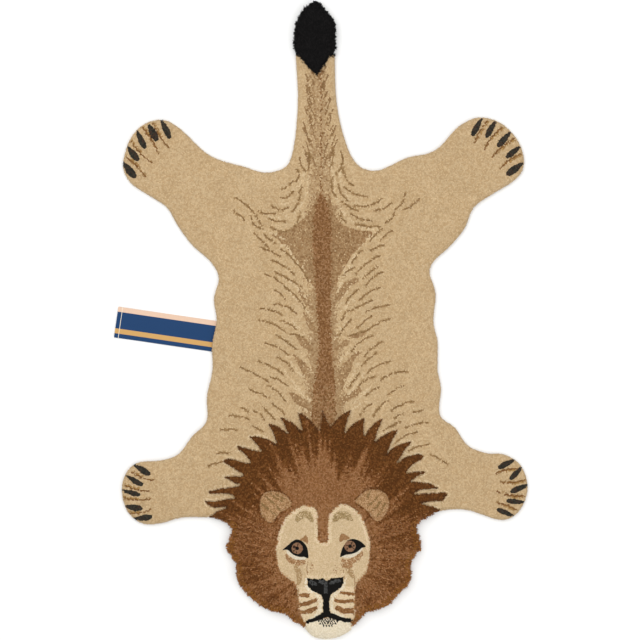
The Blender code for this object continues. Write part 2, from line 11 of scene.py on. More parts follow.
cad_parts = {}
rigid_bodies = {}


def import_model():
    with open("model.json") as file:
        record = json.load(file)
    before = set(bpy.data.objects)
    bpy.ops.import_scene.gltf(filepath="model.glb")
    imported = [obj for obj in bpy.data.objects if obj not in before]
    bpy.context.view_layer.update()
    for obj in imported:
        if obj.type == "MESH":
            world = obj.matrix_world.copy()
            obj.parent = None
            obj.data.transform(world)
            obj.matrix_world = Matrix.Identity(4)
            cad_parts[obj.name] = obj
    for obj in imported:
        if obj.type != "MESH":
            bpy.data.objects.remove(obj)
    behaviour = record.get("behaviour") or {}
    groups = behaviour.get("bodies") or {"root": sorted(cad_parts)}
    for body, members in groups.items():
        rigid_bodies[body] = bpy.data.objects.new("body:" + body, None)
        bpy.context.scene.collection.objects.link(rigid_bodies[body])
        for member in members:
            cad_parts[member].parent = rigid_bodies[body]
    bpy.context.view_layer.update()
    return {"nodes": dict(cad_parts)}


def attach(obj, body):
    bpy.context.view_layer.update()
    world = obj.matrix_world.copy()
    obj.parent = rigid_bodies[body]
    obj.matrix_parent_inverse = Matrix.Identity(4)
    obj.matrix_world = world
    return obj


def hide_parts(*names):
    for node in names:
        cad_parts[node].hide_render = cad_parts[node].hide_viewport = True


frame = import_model()
rng = np.random.default_rng(37)
spineX = 0.0085  # the line of the spine in the frame, as in the solids
print("frame loaded")


# places are given in millimetres from the spine line and the rug's middle, +y towards the tail

def place(*spots):
    return np.array(spots, dtype=float) / 1000.0 + np.array((spineX, 0.0))


def smoothPath(corners, step=0.004, closed=False):  # a soft curve through the corners
    corners = np.asarray(corners)
    count = len(corners)
    points = []
    for index in range(count if closed else count - 1):
        start = corners[index]
        end = corners[(index + 1) % count]
        before = corners[index - 1] if closed or index else start
        after = corners[(index + 2) % count] if closed or index < count - 2 else end
        steps = max(1, int(np.linalg.norm(end - start) / step))
        for number in range(steps):
            t = number / steps
            leave = (end - before) * 0.5
            arrive = (after - start) * 0.5
            points.append(
                start * (2 * t**3 - 3 * t**2 + 1) + leave * (t**3 - 2 * t**2 + t)
                + end * (3 * t**2 - 2 * t**3) + arrive * (t**3 - t**2))
    if not closed:
        points.append(corners[-1])
    return np.array(points)


def ringOf(path):  # the path with its start again at the end
    return np.vstack([path, path[:1]])


def unit(ways):
    return ways / np.maximum(np.linalg.norm(ways, axis=1), 1e-12)[:, None]


def gridOf(across, along):  # every point of a grid, row by row
    x, y = np.meshgrid(across, along)
    return np.stack([x.ravel(), y.ravel()], axis=1)


def insideOf(spots, corners):  # even-odd test for many spots at once
    found = np.zeros(len(spots), dtype=bool)
    low = corners.min(axis=0)
    high = corners.max(axis=0)
    near = np.all((spots >= low) & (spots <= high), axis=1)
    x = spots[near, 0]
    y = spots[near, 1]
    crossed = np.zeros(len(x), dtype=bool)
    for start, end in zip(corners, np.roll(corners, -1, axis=0)):
        if start[1] == end[1]:
            continue
        spans = (start[1] > y) != (end[1] > y)
        edgeX = start[0] + (y - start[1]) * (end[0] - start[0]) / (end[1] - start[1])
        crossed ^= spans & (x < edgeX)
    found[near] = crossed
    return found


def lineDistance(spots, path, reach):  # distance to a path and how far along it, for spots within reach
    distance = np.full(len(spots), 9.0)
    along = np.zeros(len(spots))
    low = path.min(axis=0) - reach
    high = path.max(axis=0) + reach
    near = np.flatnonzero(np.all((spots >= low) & (spots <= high), axis=1))
    count = len(path) - 1
    for number in range(count):
        start = path[number]
        run = path[number + 1] - start
        size = max(run @ run, 1e-12)
        t = np.clip((spots[near] - start) @ run / size, 0.0, 1.0)
        away = np.linalg.norm(spots[near] - start - t[:, None] * run, axis=1)
        closer = away < distance[near]
        distance[near] = np.where(closer, away, distance[near])
        along[near] = np.where(closer, (number + t) / count, along[near])
    return distance, along


def gapTo(spots, path, reach):
    return lineDistance(spots, path, reach)[0]


def softStep(value, low, high):
    t = np.clip((value - low) / (high - low), 0.0, 1.0)
    return t * t * (3.0 - 2.0 * t)


def cloud(spots, size, shift=0.0):  # smooth noise from -1 to 1 over the plane
    return np.array([noise.noise(Vector((x / size, y / size, shift))) for x, y in spots])


# ---- the areas of the pile, as in the solids

maneEdge = dict(  # valleys and tips of the upper locks from the middle outwards, then the side locks in full
    centre=(-5, -208),
    leftValleys=[(-11, -261), (-52, -261), (-85, -267), (-111, -291)],
    leftTips=[(-63, -214), (-105, -227), (-132, -242), (-178, -272)],
    rightValleys=[(16, -250), (47, -268), (94, -273), (119, -287)],
    rightTips=[(66, -209), (97, -228), (140, -228), (176, -256)],
    leftSide=[(-148, -307), (-165, -304), (-179, -300), (-193, -297), (-204, -295), (-203, -304),
        (-193, -309), (-184, -318), (-177, -327), (-174, -335), (-184, -334), (-198, -330), (-214, -326),
        (-226, -325), (-236, -328), (-239, -332), (-229, -338), (-217, -346), (-203, -355), (-193, -360),
        (-190, -365), (-196, -366), (-212, -365), (-226, -366), (-236, -368), (-229, -372), (-219, -378),
        (-210, -384), (-199, -387), (-217, -391), (-233, -393), (-250, -396), (-262, -399), (-270, -400),
        (-272, -406), (-264, -408), (-245, -407), (-226, -408), (-214, -412), (-210, -417), (-222, -419),
        (-236, -420), (-250, -424), (-264, -424), (-276, -423), (-281, -425), (-278, -429), (-271, -436),
        (-262, -440), (-250, -441), (-238, -440), (-229, -440), (-240, -444), (-250, -447), (-257, -452),
        (-264, -459), (-273, -467)],
    rightSide=[(147, -316), (156, -304), (167, -297), (179, -291), (193, -287), (205, -284), (206, -288),
        (199, -295), (191, -304), (184, -315), (179, -325), (171, -334), (179, -330), (186, -324),
        (196, -319), (207, -317), (219, -314), (229, -315), (235, -320), (229, -328), (219, -334),
        (207, -341), (200, -348), (194, -358), (203, -357), (217, -355), (229, -355), (238, -354),
        (239, -357), (233, -363), (222, -366), (210, -374), (204, -378), (217, -379), (233, -381),
        (247, -383), (259, -388), (270, -395), (259, -396), (245, -397), (229, -399), (214, -406),
        (226, -407), (250, -405), (273, -404), (288, -405), (291, -410), (285, -417), (278, -425),
        (264, -426), (250, -427), (229, -431), (236, -432), (250, -436), (264, -440), (270, -445),
        (273, -452)],
    backBelly=0.09,
    headBelly=-0.03,
    blunt=0.0026,
    samples=7,
    crossings=[(-294, -500), (292, -500)],
    ends=[(330, -520), (330, -800), (-330, -800), (-330, -520)],
)


def maneArea():  # the locks over the shoulders, then well past the rim around the head
    edge = maneEdge
    left, right = ([spot for pair in zip(edge[side + "Valleys"], edge[side + "Tips"]) for spot in pair]
                   for side in ("left", "right"))
    corners = place(edge["leftSide"][0], *left[::-1], edge["centre"], *right, edge["rightSide"][0])
    line = []
    for number, (start, end) in enumerate(zip(corners, corners[1:])):
        backSide = number % 2 == (1 if number <= len(left) else 0)
        side = end - start
        across = np.array((-side[1], side[0])) * edge["backBelly" if backSide else "headBelly"]
        blunt = edge["blunt"] / np.linalg.norm(side)
        first, last = (blunt, 1.0) if number % 2 else (0.0, 1.0 - blunt)
        for share in np.linspace(first, last, edge["samples"])[:edge["samples"] - number % 2]:
            line.append(start + side * share + across * 4.0 * share * (1.0 - share))
    leftSide = smoothPath(place(*edge["leftSide"]))[1:]
    line = np.vstack([leftSide[::-1], line, smoothPath(place(*edge["rightSide"]))])
    leftEnd, rightEnd = edge["crossings"]
    return line, np.vstack([line, place(rightEnd, *edge["ends"], leftEnd)])


faceRows = dict(
    left=[(-9, -521), (-14, -516), (-15, -480), (-19, -446), (-49, -436), (-87, -461), (-106, -500),
        (-112, -545), (-102, -590), (-66, -622), (-61, -660), (-54, -692), (-41, -710), (-4, -700)],
    right=[(5, -521), (10, -516), (9, -480), (17, -451), (45, -432), (83, -455), (103, -499), (108, -540),
        (100, -588), (76, -620), (73, -665), (72, -692), (61, -706), (16, -700)],
)
chinCorners = [(-41, -710), (-4, -700), (16, -700), (61, -706), (68, -722), (70, -765), (-45, -765),
    (-46, -720)]
ears = [[(-151, -433), (-150, -424), (-146, -413), (-137, -404), (-125, -401), (-111, -403), (-97, -407),
    (-85, -416), (-75, -429), (-78, -436), (-88, -443), (-101, -451), (-111, -461), (-117, -471),
    (-124, -475), (-134, -471), (-145, -459), (-150, -445)], [(115, -397), (132, -400), (146, -410),
    (152, -426), (150, -443), (141, -459), (130, -470), (121, -470), (111, -459), (99, -446), (87, -437),
    (76, -430), (74, -423), (85, -411), (99, -400)]]
tuftCorners = [(-90, 626), (-60, 622), (-39, 596), (-17, 574), (0, 598), (16, 622), (60, 626), (60, 790),
    (-90, 790)]


maneLine, manePlan = maneArea()
facePlan = smoothPath(place(*faceRows["left"], *faceRows["right"][::-1]), closed=True)
chinPlan = place(*chinCorners)
earPlans = [smoothPath(place(*ear), closed=True) for ear in ears]
tuftPlan = place(*tuftCorners)

leftBody, rightBody, mane, face, tailTuft = range(5)


def areaOf(spots):
    area = np.where(spots[:, 0] < spineX, leftBody, rightBody)
    area[insideOf(spots, manePlan)] = mane
    for plan in (facePlan, chinPlan, *earPlans):
        area[insideOf(spots, plan)] = face
    area[insideOf(spots, tuftPlan)] = tailTuft
    return area


# ---- markings: soft lines and shapes, each with its own rows of tufts

def lineMark(path, width, yarn, density=1.0, ragged=0.0, sewn=True):
    line = smoothPath(path)
    return dict(kind="line", path=line, width=width, yarn=yarn, density=density, ragged=ragged, sewn=sewn)


markStep = dict(shape=0.002, rough=0.0026, stroke=0.003)


def shapeMark(corners, yarn, density=1.0, sewn=True, soft=True, rough=0.0):
    outline = smoothPath(corners, markStep["shape"], closed=True) if soft else np.asarray(corners)
    if rough:
        outline = evenlySpaced(outline, markStep["rough"])
        outline = outline + rng.normal(0.0, rough, outline.shape)
    return dict(kind="shape", path=outline, yarn=yarn, density=density, sewn=sewn)


def strokeMark(path, widths, yarn, density=1.0, rough=0.0):  # a broad line whose width changes along it
    line = evenlySpaced(smoothPath(path), markStep["stroke"], closed=False)
    way = unit(np.gradient(line, axis=0))
    across = np.stack([-way[:, 1], way[:, 0]], axis=1)
    half = np.interp(np.linspace(0, 1, len(line)), np.linspace(0, 1, len(widths)), widths)[:, None] / 2000
    outline = np.vstack([line + across * half, (line - across * half)[::-1]])
    return shapeMark(outline, yarn, density, soft=False, rough=rough)


def evenlySpaced(path, pitch, closed=True):
    whole = ringOf(path) if closed else np.asarray(path)
    lengths = np.concatenate([[0.0], np.cumsum(np.linalg.norm(np.diff(whole, axis=0), axis=1))])
    count = max(2, int(round(lengths[-1] / pitch)))
    wanted = np.arange(count) * lengths[-1] / count if closed else np.linspace(0.0, lengths[-1], count + 1)
    return np.stack([np.interp(wanted, lengths, whole[:, axis]) for axis in (0, 1)], axis=1)


hair = dict(
    streakWidth=0.0029,
    haloWidth=0.0072,
    paleWidth=0.0058,
    stray=0.0012,
    wave=0.0011,
    waveLength=0.0042,
    backBow=(0.0, 0.11),
    rumpBow=(-0.18, -0.05),
    back=[(-213, 257, -185, 235), (-205, 287, -148, 224), (-139, 201, -115, 180), (-165, 206, -132, 171),
        (-146, 168, -103, 150), (-123, 140, -71, 110), (-104, 168, -35, 90), (-115, 114, -47, 78),
        (-138, 109, -80, 70), (-76, 64, -45, 29), (-118, 71, -90, 48), (-146, 29, -101, 12),
        (-118, 38, -64, 16), (-153, 0, -93, -27), (-99, -2, -66, -21), (-80, -33, -47, -42),
        (-113, -37, -64, -68), (-139, -54, -82, -82), (-153, -96, -94, -128), (-111, -89, -73, -117),
        (-196, -111, -132, -146), (-125, -133, -87, -154), (-177, -165, -130, -183), (-130, -155, -92, -190),
        (-193, -205, -177, -214), (-165, -212, -139, -233), (-144, -205, -115, -233), (-123, -195, -90, -221),
        (-222, -225, -172, -234), (-243, -258, -205, -256), (-170, -249, -141, -264),
        (-252, -313, -224, -315), (-273, -341, -243, -334), (159, 213, 133, 188), (137, 217, 108, 184),
        (139, 175, 111, 163), (90, 165, 68, 136), (132, 152, 73, 107), (123, 125, 92, 99), (73, 123, 47, 104),
        (139, 112, 99, 81), (132, 78, 85, 48), (80, 74, 52, 41), (113, 48, 68, 21), (153, 37, 101, 19),
        (59, 24, 40, 0), (111, 10, 78, -18), (153, 4, 101, -25), (64, 0, 38, -33), (94, -28, 61, -37),
        (111, -37, 64, -73), (137, -49, 94, -83), (125, -77, 87, -108), (158, -96, 104, -122),
        (85, -124, 59, -160), (197, -120, 133, -141), (120, -134, 82, -155), (127, -155, 99, -177),
        (186, -153, 151, -172), (211, -188, 156, -214), (111, -195, 82, -221), (151, -190, 115, -226),
        (184, -221, 167, -228), (179, -240, 139, -259), (243, -240, 191, -252), (231, -212, 210, -214),
        (219, -261, 170, -287), (243, -292, 198, -304), (250, -315, 288, -337)],
    rump=[(40, 396, 28, 345), (-59, 382, -45, 352), (-35, 394, -38, 354), (21, 401, 14, 359),
        (-64, 356, -64, 326), (-75, 328, -101, 307), (-101, 288, -71, 302), (45, 359, 68, 316),
        (35, 319, 59, 281), (49, 312, 101, 290), (21, 335, 24, 293), (71, 269, 134, 286), (42, 279, 80, 255),
        (66, 250, 111, 234), (75, 227, 130, 220), (118, 255, 156, 274), (146, 231, 167, 253),
        (165, 260, 189, 297), (189, 257, 224, 286), (40, 253, 52, 229), (-54, 300, -73, 255),
        (-123, 269, -87, 264), (-153, 257, -115, 253), (-127, 236, -92, 234), (-127, 217, -78, 213),
        (-54, 255, -71, 222), (-52, 316, -57, 300), (-172, 243, -144, 213)],
    pale=[[(-106, 177), (-87, 173), (-71, 144), (-52, 123), (-33, 88)], [(-97, 104), (-68, 81), (-42, 50)],
        [(-80, 64), (-52, 36), (-35, 15)], [(-73, -4), (-49, -30), (-31, -42)], [(-57, -77), (-38, -99),
        (-28, -122)], [(-87, -87), (-73, -106), (-54, -132)], [(-92, -120), (-71, -148), (-47, -176)],
        [(-80, -153), (-57, -167), (-33, -190)], [(-57, -207), (-35, -216), (-19, -233)], [(130, 210),
        (108, 196), (87, 175), (66, 142), (47, 116), (35, 88)], [(64, 128), (45, 95), (31, 66)], [(66, 88),
        (52, 62), (35, 33)], [(73, 50), (59, 38), (40, 19)], [(52, -4), (35, -25), (26, -49)], [(75, -73),
        (49, -80), (38, -96)], [(78, -103), (66, -132), (47, -162)], [(97, -122), (78, -148), (59, -174)],
        [(111, -155), (85, -179), (64, -198)], [(61, -221), (75, -202), (99, -193)], [(14, 371), (24, 330),
        (28, 293), (47, 250), (75, 227), (94, 215), (130, 213)], [(35, 378), (40, 326), (59, 288), (78, 276)],
        [(-35, 340), (-40, 307), (-52, 274), (-66, 253)], [(-45, 349), (-57, 316), (-75, 305)], [(-73, 281),
        (-92, 274), (-111, 274)], [(-80, 246), (-104, 241), (-132, 243)], [(-139, 208), (-106, 198),
        (-90, 187)]],
    leaves=[[(90, -73), (73, -77), (54, -94), (40, -110), (35, -136), (42, -160), (52, -141), (64, -117),
        (73, -91)], [(87, -157), (66, -167), (45, -179), (31, -198), (52, -193), (75, -179), (87, -167)],
        [(59, -42), (42, -51), (26, -70), (42, -68), (57, -56)], [(80, 99), (61, 97), (42, 81), (26, 52),
        (40, 50), (61, 76), (78, 90)], [(99, -30), (75, -30), (59, -37), (78, -42)], [(-75, -77), (-57, -89),
        (-40, -108), (-33, -134), (-47, -127), (-61, -103)], [(-82, -169), (-61, -176), (-42, -190),
        (-28, -214), (-49, -207), (-71, -190)], [(-64, -33), (-42, -44), (-24, -73), (-42, -68), (-59, -54)],
        [(-49, 17), (-31, 0), (-16, -30), (-35, -18)], [(-64, 78), (-42, 59), (-24, 26), (-45, 38)]],
)


def hairStroke(ends, bows):  # one wavy streak of hair with a soft halo
    start, end = place(ends[:2], ends[2:])
    start = start + rng.normal(0, hair["stray"], 2)
    end = end + rng.normal(0, hair["stray"], 2)
    run = end - start
    length = np.linalg.norm(run)
    across = np.array((-run[1], run[0])) / length
    across *= np.sign(across[1]) if across[1] else 1.0
    t = np.linspace(0, 1, 7)[:, None]
    bow = rng.uniform(*bows) * length
    wave = hair["wave"] * np.sin(t * length / hair["waveLength"] + rng.uniform(0, 6.3))
    path = start + run * t + across * (bow * 4 * t * (1 - t) + wave * rng.uniform(0.4, 1.2))
    halo = lineMark(path, hair["haloWidth"], "softStreak", density=0.5, sewn=False)
    return [halo, lineMark(path, hair["streakWidth"], "streak", density=0.84)]


def bodyHair():
    marks = [shapeMark(place(*corners), "band", density=0.9, sewn=False) for corners in hair["leaves"]]
    pale = dict(width=hair["paleWidth"], yarn="paleSand", density=0.5, ragged=0.0012, sewn=False)
    marks += [lineMark(place(*path), **pale) for path in hair["pale"]]
    for streaks, bows in (("back", "backBow"), ("rump", "rumpBow")):
        for ends in hair[streaks]:
            marks += hairStroke(ends, hair[bows])
    return marks


tailRows = dict(
    count=32, start=592, step=7.2, spread=13, widening=0.38, reach=1.7, axis=-17, drift=0.22, missing=0.1,
    width=0.0024,
)


def tailHair():  # short slanting hairs on both sides of the tail
    lines = []
    for number in range(tailRows["count"]):
        y = tailRows["start"] - tailRows["step"] * number
        spread = tailRows["spread"] + tailRows["widening"] * number
        for side in (-1, 1):
            if rng.random() < tailRows["missing"]:
                continue
            out = rng.uniform(0.15, 1.0) * spread * tailRows["reach"]
            axis = tailRows["axis"] + tailRows["drift"] * number
            length = rng.uniform(9, 18)
            spots = place((axis + side * (out + 5), y + length), (axis + side * out, y),
                          (axis + side * (out - 3), y - length * 0.5))
            lines.append(lineMark(spots, tailRows["width"], "tailStreak", density=0.85))
    return lines


paws = [  # tips, bases and width of the claws, and the creases between the toes
    dict(tips=[(-382, 471), (-412, 459), (-440, 444), (-462, 407), (-473, 370)],
         bases=[(-362, 427), (-393, 422), (-420, 404), (-436, 375), (-444, 336)], width=17,
         creases=[(-402, 464, -364, 405), (-428, 454, -389, 391), (-454, 421, -406, 371),
                  (-467, 384, -420, 338)]),
    dict(tips=[(370, 473), (402, 467), (438, 442), (460, 407), (467, 369)],
         bases=[(348, 434), (381, 430), (409, 409), (428, 382), (430, 342)], width=16,
         creases=[(384, 469, 354, 415), (421, 456, 377, 403), (449, 428, 395, 383), (465, 393, 414, 357)]),
    dict(tips=[(-446, -340), (-464, -366), (-474, -400), (-468, -438), (-447, -468)],
         bases=[(-409, -363), (-426, -388), (-433, -411), (-427, -443), (-405, -462)], width=14,
         creases=[(-452, -357, -402, -377), (-468, -389, -409, -402), (-473, -418, -406, -420),
                  (-461, -455, -408, -446)]),
    dict(tips=[(448, -328), (466, -345), (479, -387), (470, -429), (444, -460)],
         bases=[(410, -347), (437, -375), (438, -404), (429, -424), (407, -444)], width=14,
         creases=[(459, -349, 405, -359), (474, -375, 416, -381), (472, -414, 408, -403),
                  (452, -446, 408, -430)]),
]
clawShape = dict(roundness=[0.1, 0.5, 0.74, 0.92, 1.0, 0.86, 0.45], rough=0.0006)
creaseShape = dict(width=0.0025, softWidth=0.0075, paleGap=0.0040, wave=0.0016, waveLength=0.0019, bend=0.05)


def pawMarks():
    claws = []
    marks = []
    for paw in paws:
        for tip, base in zip(place(*paw["tips"]), place(*paw["bases"])):
            run = base - tip
            half = paw["width"] * rng.uniform(0.88, 1.1) / 2000
            across = np.array((-run[1], run[0])) / np.linalg.norm(run) * half
            shares = np.linspace(-0.1, 1.0, len(clawShape["roundness"]))
            side = [(tip + run * share, across * wide) for share, wide in zip(shares, clawShape["roundness"])]
            outline = [middle + out for middle, out in side] + [middle - out for middle, out in side[:0:-1]]
            claws.append(shapeMark(outline, "claw", rough=clawShape["rough"]))
        for crease in paw["creases"]:
            start, end = place(crease[:2], crease[2:])
            run = end - start
            length = np.linalg.norm(run)
            across = np.array((-run[1], run[0])) / length
            t = np.linspace(0.0, 1.0, 12)[:, None]
            wave = creaseShape["wave"] * np.sin(t * length / creaseShape["waveLength"] + rng.uniform(0, 6.3))
            bend = creaseShape["bend"] * length * np.sin(t * 3.14) * rng.choice((-1, 1))
            path = start + run * t + across * (wave * rng.uniform(0.5, 1.2, t.shape) + bend)
            beside = path[:7] + across * creaseShape["paleGap"]
            marks.append(lineMark(path, creaseShape["softWidth"], "softStreak", density=0.34, sewn=False))
            marks.append(lineMark(beside, creaseShape["width"], "creasePale", density=0.7))
            marks.append(lineMark(path, creaseShape["width"], "crease", density=0.92))
    return marks + claws


saddles = [([(-5, 296), (-30, 258), (-56, 232), (-88, 212), (-122, 201), (-106, 186), (-80, 160), (-57, 132),
    (-38, 100), (-20, 78), (0, 84)], 0.28), ([(10, 292), (24, 250), (50, 222), (80, 212), (110, 209),
    (111, 198), (88, 176), (66, 152), (50, 126), (38, 104), (26, 82), (10, 84)], 0.58)]
spineRows = [(302, -7, 1), (283, -5, 9), (260, -4, 17), (236, -6, 20), (212, -5, 21), (160, -5, 21),
    (120, -3.5, 20), (80, -2, 18.5), (20, 0, 16.5), (-35, 2, 14.5), (-70, 4, 15), (-110, 4, 19.5),
    (-160, 0, 26), (-250, -1, 29)]

faceMarks = dict(
    brows=[[(-67, -471), (-64, -457), (-53, -449), (-38, -449), (-28, -457), (-24, -474), (-32, -473),
        (-38, -466), (-49, -465), (-57, -469), (-60, -475)], [(20, -472), (24, -457), (35, -449), (49, -449),
        (61, -455), (68, -470), (59, -471), (49, -466), (38, -467), (29, -474)]],
    browPatches=[[(-57, -516), (-49, -510), (-41, -505), (-37, -516), (-39, -527), (-44, -521)], [(37, -521),
        (37, -509), (42, -500), (50, -504), (61, -513), (48, -517)]],
    eyeLids=[[(-98, -540), (-84, -528), (-75, -520), (-64, -515), (-52, -519), (-43, -528), (-38, -541),
        (-37, -559), (-46, -556), (-57, -556), (-68, -553), (-76, -548), (-83, -541), (-90, -539)],
        [(38, -556), (40, -545), (44, -534), (53, -520), (65, -514), (78, -516), (89, -522), (98, -532),
        (89, -535), (78, -544), (65, -549), (52, -551), (44, -554)]],
    eyeWhites=[[(-87, -539), (-87, -547), (-79, -555), (-68, -561), (-56, -563), (-43, -561), (-44, -557),
        (-58, -556), (-68, -553), (-76, -548), (-82, -541)], [(42, -556), (54, -558), (68, -556), (80, -549),
        (91, -537), (88, -534), (78, -543), (65, -549), (52, -551)]],
    eyeShades=[([(-90, -551), (-80, -562), (-66, -569), (-42, -567)], (7, 13, 13, 8)), ([(42, -563),
        (56, -567), (74, -562), (92, -546)], (7, 13, 13, 8)), ([(44, -575), (56, -577), (68, -572)],
        (7, 13, 13, 8))],
    cheekShades=[([(-68, -574), (-58, -598), (-60, -622)], (9, 16, 7)), ([(50, -574), (60, -588), (70, -606)],
        (9, 16, 7))],
    cheekLines=[[(-38, -566), (-40, -584), (-39, -602)], [(40, -572), (46, -590), (48, -606)], [(56, -582),
        (70, -600), (73, -626)], [(-60, -632), (-60, -658), (-57, -684), (-50, -704)], [(72, -630),
        (73, -662), (70, -692)]],
    nose=[[(-40, -604), (-30, -609), (-22, -606), (-12, -608), (-2, -605), (8, -612), (16, -605), (28, -606),
        (45, -603), (46, -618), (38, -630), (26, -637), (17, -644), (14, -654), (-4, -654), (-6, -646),
        (-16, -640), (-30, -635), (-38, -625)]],
    noseShine=[([(-34, -612), (-26, -618), (-17, -620)], (7, 11, 6)), ([(12, -618), (26, -613), (40, -612)],
        (6, 9, 6)), ([(-14, -612), (-4, -615), (8, -616)], (6, 9, 7)), ([(4, -616), (4, -632), (3, -643)],
        (10, 9, 8))],
    noseRim=[([(-41, -601), (-20, -602), (4, -601), (26, -601), (50, -597)], (6, 8, 8, 8, 6))],
    philtrum=[([(5, -646), (5, -668), (6, -690)], (16, 15, 17))],
    mouth=[([(8, -688), (-8, -697), (-24, -704), (-42, -710)], (15, 12, 10, 6)), ([(4, -688), (24, -697),
        (44, -703), (66, -706)], (15, 12, 10, 7))],
    whiskers=[([(-59, -646), (-46, -646), (-33, -645)], (8, 9, 7)), ([(-59, -667), (-40, -665), (-17, -655)],
        (8, 10, 8)), ([(-56, -687), (-36, -683), (-15, -675)], (9, 12, 9)), ([(38, -640), (55, -641),
        (71, -645)], (5, 8, 7)), ([(24, -655), (40, -660), (71, -658)], (7, 9, 8)), ([(26, -673), (44, -681),
        (70, -683)], (8, 14, 13))],
    padLights=[([(-42, -606), (-42, -622), (-32, -636), (-16, -646), (-9, -656), (-8, -674), (-15, -690),
        (-32, -701)], (5, 6, 6, 7, 8, 8, 9, 5)), ([(50, -606), (48, -622), (38, -634), (22, -647), (18, -656),
        (18, -674), (26, -688), (48, -697)], (5, 6, 6, 7, 8, 8, 9, 5))],
    earStreaks=[[(-125, -407), (-113, -417), (-98, -425)], [(-137, -414), (-120, -429), (-102, -446)],
        [(-146, -431), (-129, -445), (-113, -458)], [(-114, -408), (-104, -414), (-92, -419)], [(108, -403),
        (104, -410), (101, -418)], [(127, -412), (114, -428), (105, -433)], [(133, -424), (124, -438),
        (115, -446)], [(143, -430), (134, -448), (126, -458)]],
)


faceLooks = dict(
    brows=dict(yarn="brow", density=0.85, rough=0.0007),
    cheekShades=dict(yarn="faceShade", density=0.72),
    eyeShades=dict(yarn="eyeShade", density=0.88, rough=0.0012),
    browPatches=dict(yarn="browPatch", rough=0.0006),
    # painted shade: dark lines in the carved grooves beside the nose and the muzzle
    cheekLines=dict(yarn="paintedGrooveShade", width=0.0022, density=0.9),
    eyeWhites=dict(yarn="white"),
    eyeLids=dict(yarn="black"),
    noseRim=dict(yarn="facePale", density=0.55),
    padLights=dict(yarn="cream", density=0.8, rough=0.0010),
    whiskers=dict(yarn="whisker", rough=0.0012),
    nose=dict(yarn="black", soft=False, rough=0.0009),
    noseShine=dict(yarn="noseGrey", density=0.88, rough=0.0008),
    philtrum=dict(yarn="black", rough=0.0009),
    mouth=dict(yarn="black", rough=0.0010),
    earStreaks=dict(yarn="earStreak", width=0.0050, density=0.8, ragged=0.0008, sewn=False),
)


def faceSet(*names):  # a path with widths is a stroke, a look with one width a line, any other a shape
    drawn = []
    for name in names:
        looks = faceLooks[name]
        for path in faceMarks[name]:
            if isinstance(path, tuple):
                drawn.append(strokeMark(place(*path[0]), path[1], **looks))
            elif "width" in looks:
                drawn.append(lineMark(place(*path), **looks))
            else:
                drawn.append(shapeMark(place(*path), **looks))
    return drawn


iris = dict(
    centres=[(-63, -536), (61, -531)], radius=13.2, pupil=4.6, corners=24, rough=0.0004,
    flecks=6, fleckStart=3.0, fleckEnd=11.5, fleckMore=1.5, fleckWidth=0.0028,
)


def irisMarks():
    drawn = []
    for centre in iris["centres"]:
        middle = place(centre)[0]
        turns = np.linspace(0, 2 * np.pi, iris["corners"], endpoint=False) + centre[0]
        circle = np.stack([np.cos(turns), np.sin(turns)], axis=1) / 1000
        drawn.append(shapeMark(middle + circle * iris["radius"], "iris", rough=iris["rough"]))
        drawn.append(shapeMark(middle + circle[::3] * iris["pupil"], "black"))
        for way in circle[rng.choice(len(circle), iris["flecks"], replace=False)]:
            start, end = np.sort(rng.uniform(iris["fleckStart"], iris["fleckEnd"], 2))
            ends = [middle + way * start, middle + way * (end + iris["fleckMore"])]
            drawn.append(lineMark(ends, iris["fleckWidth"], "irisDark"))
    return drawn


specks = dict(
    within=[(-17, -709), (-5, -698), (8, -690), (20, -698), (34, -709), (25, -717), (8, -720), (-9, -717)],
    start=(-22, -693), step=(6.2, 4.9), rows=6, columns=10, length=0.0012, width=0.0040,
)


def chinSpecks():  # round dark dots in staggered rows under the mouth
    drawn = []
    for row in range(specks["rows"]):
        for column in range(specks["columns"]):
            x = specks["start"][0] + specks["step"][0] * (column + 0.5 * (row % 2))
            spot = place((x, specks["start"][1] - specks["step"][1] * row))
            if insideOf(spot, place(*specks["within"]))[0]:
                drawn.append(lineMark([spot[0], spot[0] + (0.0, specks["length"])], specks["width"], "black"))
    return drawn


def faceShapes():  # each mark lies over the ones before it
    drawn = faceSet("brows", "cheekShades", "eyeShades", "browPatches", "cheekLines", "eyeWhites", "eyeLids")
    drawn += irisMarks()
    drawn += faceSet("noseRim", "padLights", "whiskers")
    drawn.append(shapeMark(chinPlan, "cream", soft=False))
    drawn += chinSpecks()
    drawn += faceSet("nose", "noseShine", "philtrum", "mouth")
    drawn += [shapeMark(plan, "ear", sewn=False, soft=False) for plan in earPlans]
    return drawn + faceSet("earStreaks")


bodyDrawn = bodyHair()
tailDrawn = tailHair()
pawDrawn = pawMarks()
faceDrawn = faceShapes()
print("markings drawn:", len(bodyDrawn) + len(tailDrawn) + len(pawDrawn) + len(faceDrawn))


# ---- the ground that carries the pile: the solid's surface, with a point for each tuft

pile = dict(
    pitch={leftBody: 0.0033, rightBody: 0.0033, mane: 0.0033, face: 0.0022, tailTuft: 0.0036},
    jitter=0.22,
    clear=0.60,  # of the pitch: no tuft stands nearer to one set before it
    sewn=dict(line=0.80, loop=0.86, out=0.36, clear=0.56),  # rows of a mark, in shares of the pitch
    seam=dict(step=0.9, out=0.40, clear=0.5, stray=0.0004),
    clawPitch=0.86,
    cell=0.0024,
    rowStep=0.866,
    wobble=0.0003,
    rayStart=0.2,
    rimPitch=0.0033,
    rimProfile=[(0.0048, 1.00, -0.0012), (0.0021, 0.76, 0.0), (0.0, 0.50, 0.0), (0.0006, 0.26, 0.0),
                (0.0030, 0.0, 0.0011)],  # inset, share of the pile's height, lift
    floorGap=0.0011,
    bodyTop=0.0143,
    maneStep=(0.0138, 0.0080, 0.0070),  # height at the mane's edge, rise, and how far in it is reached
)

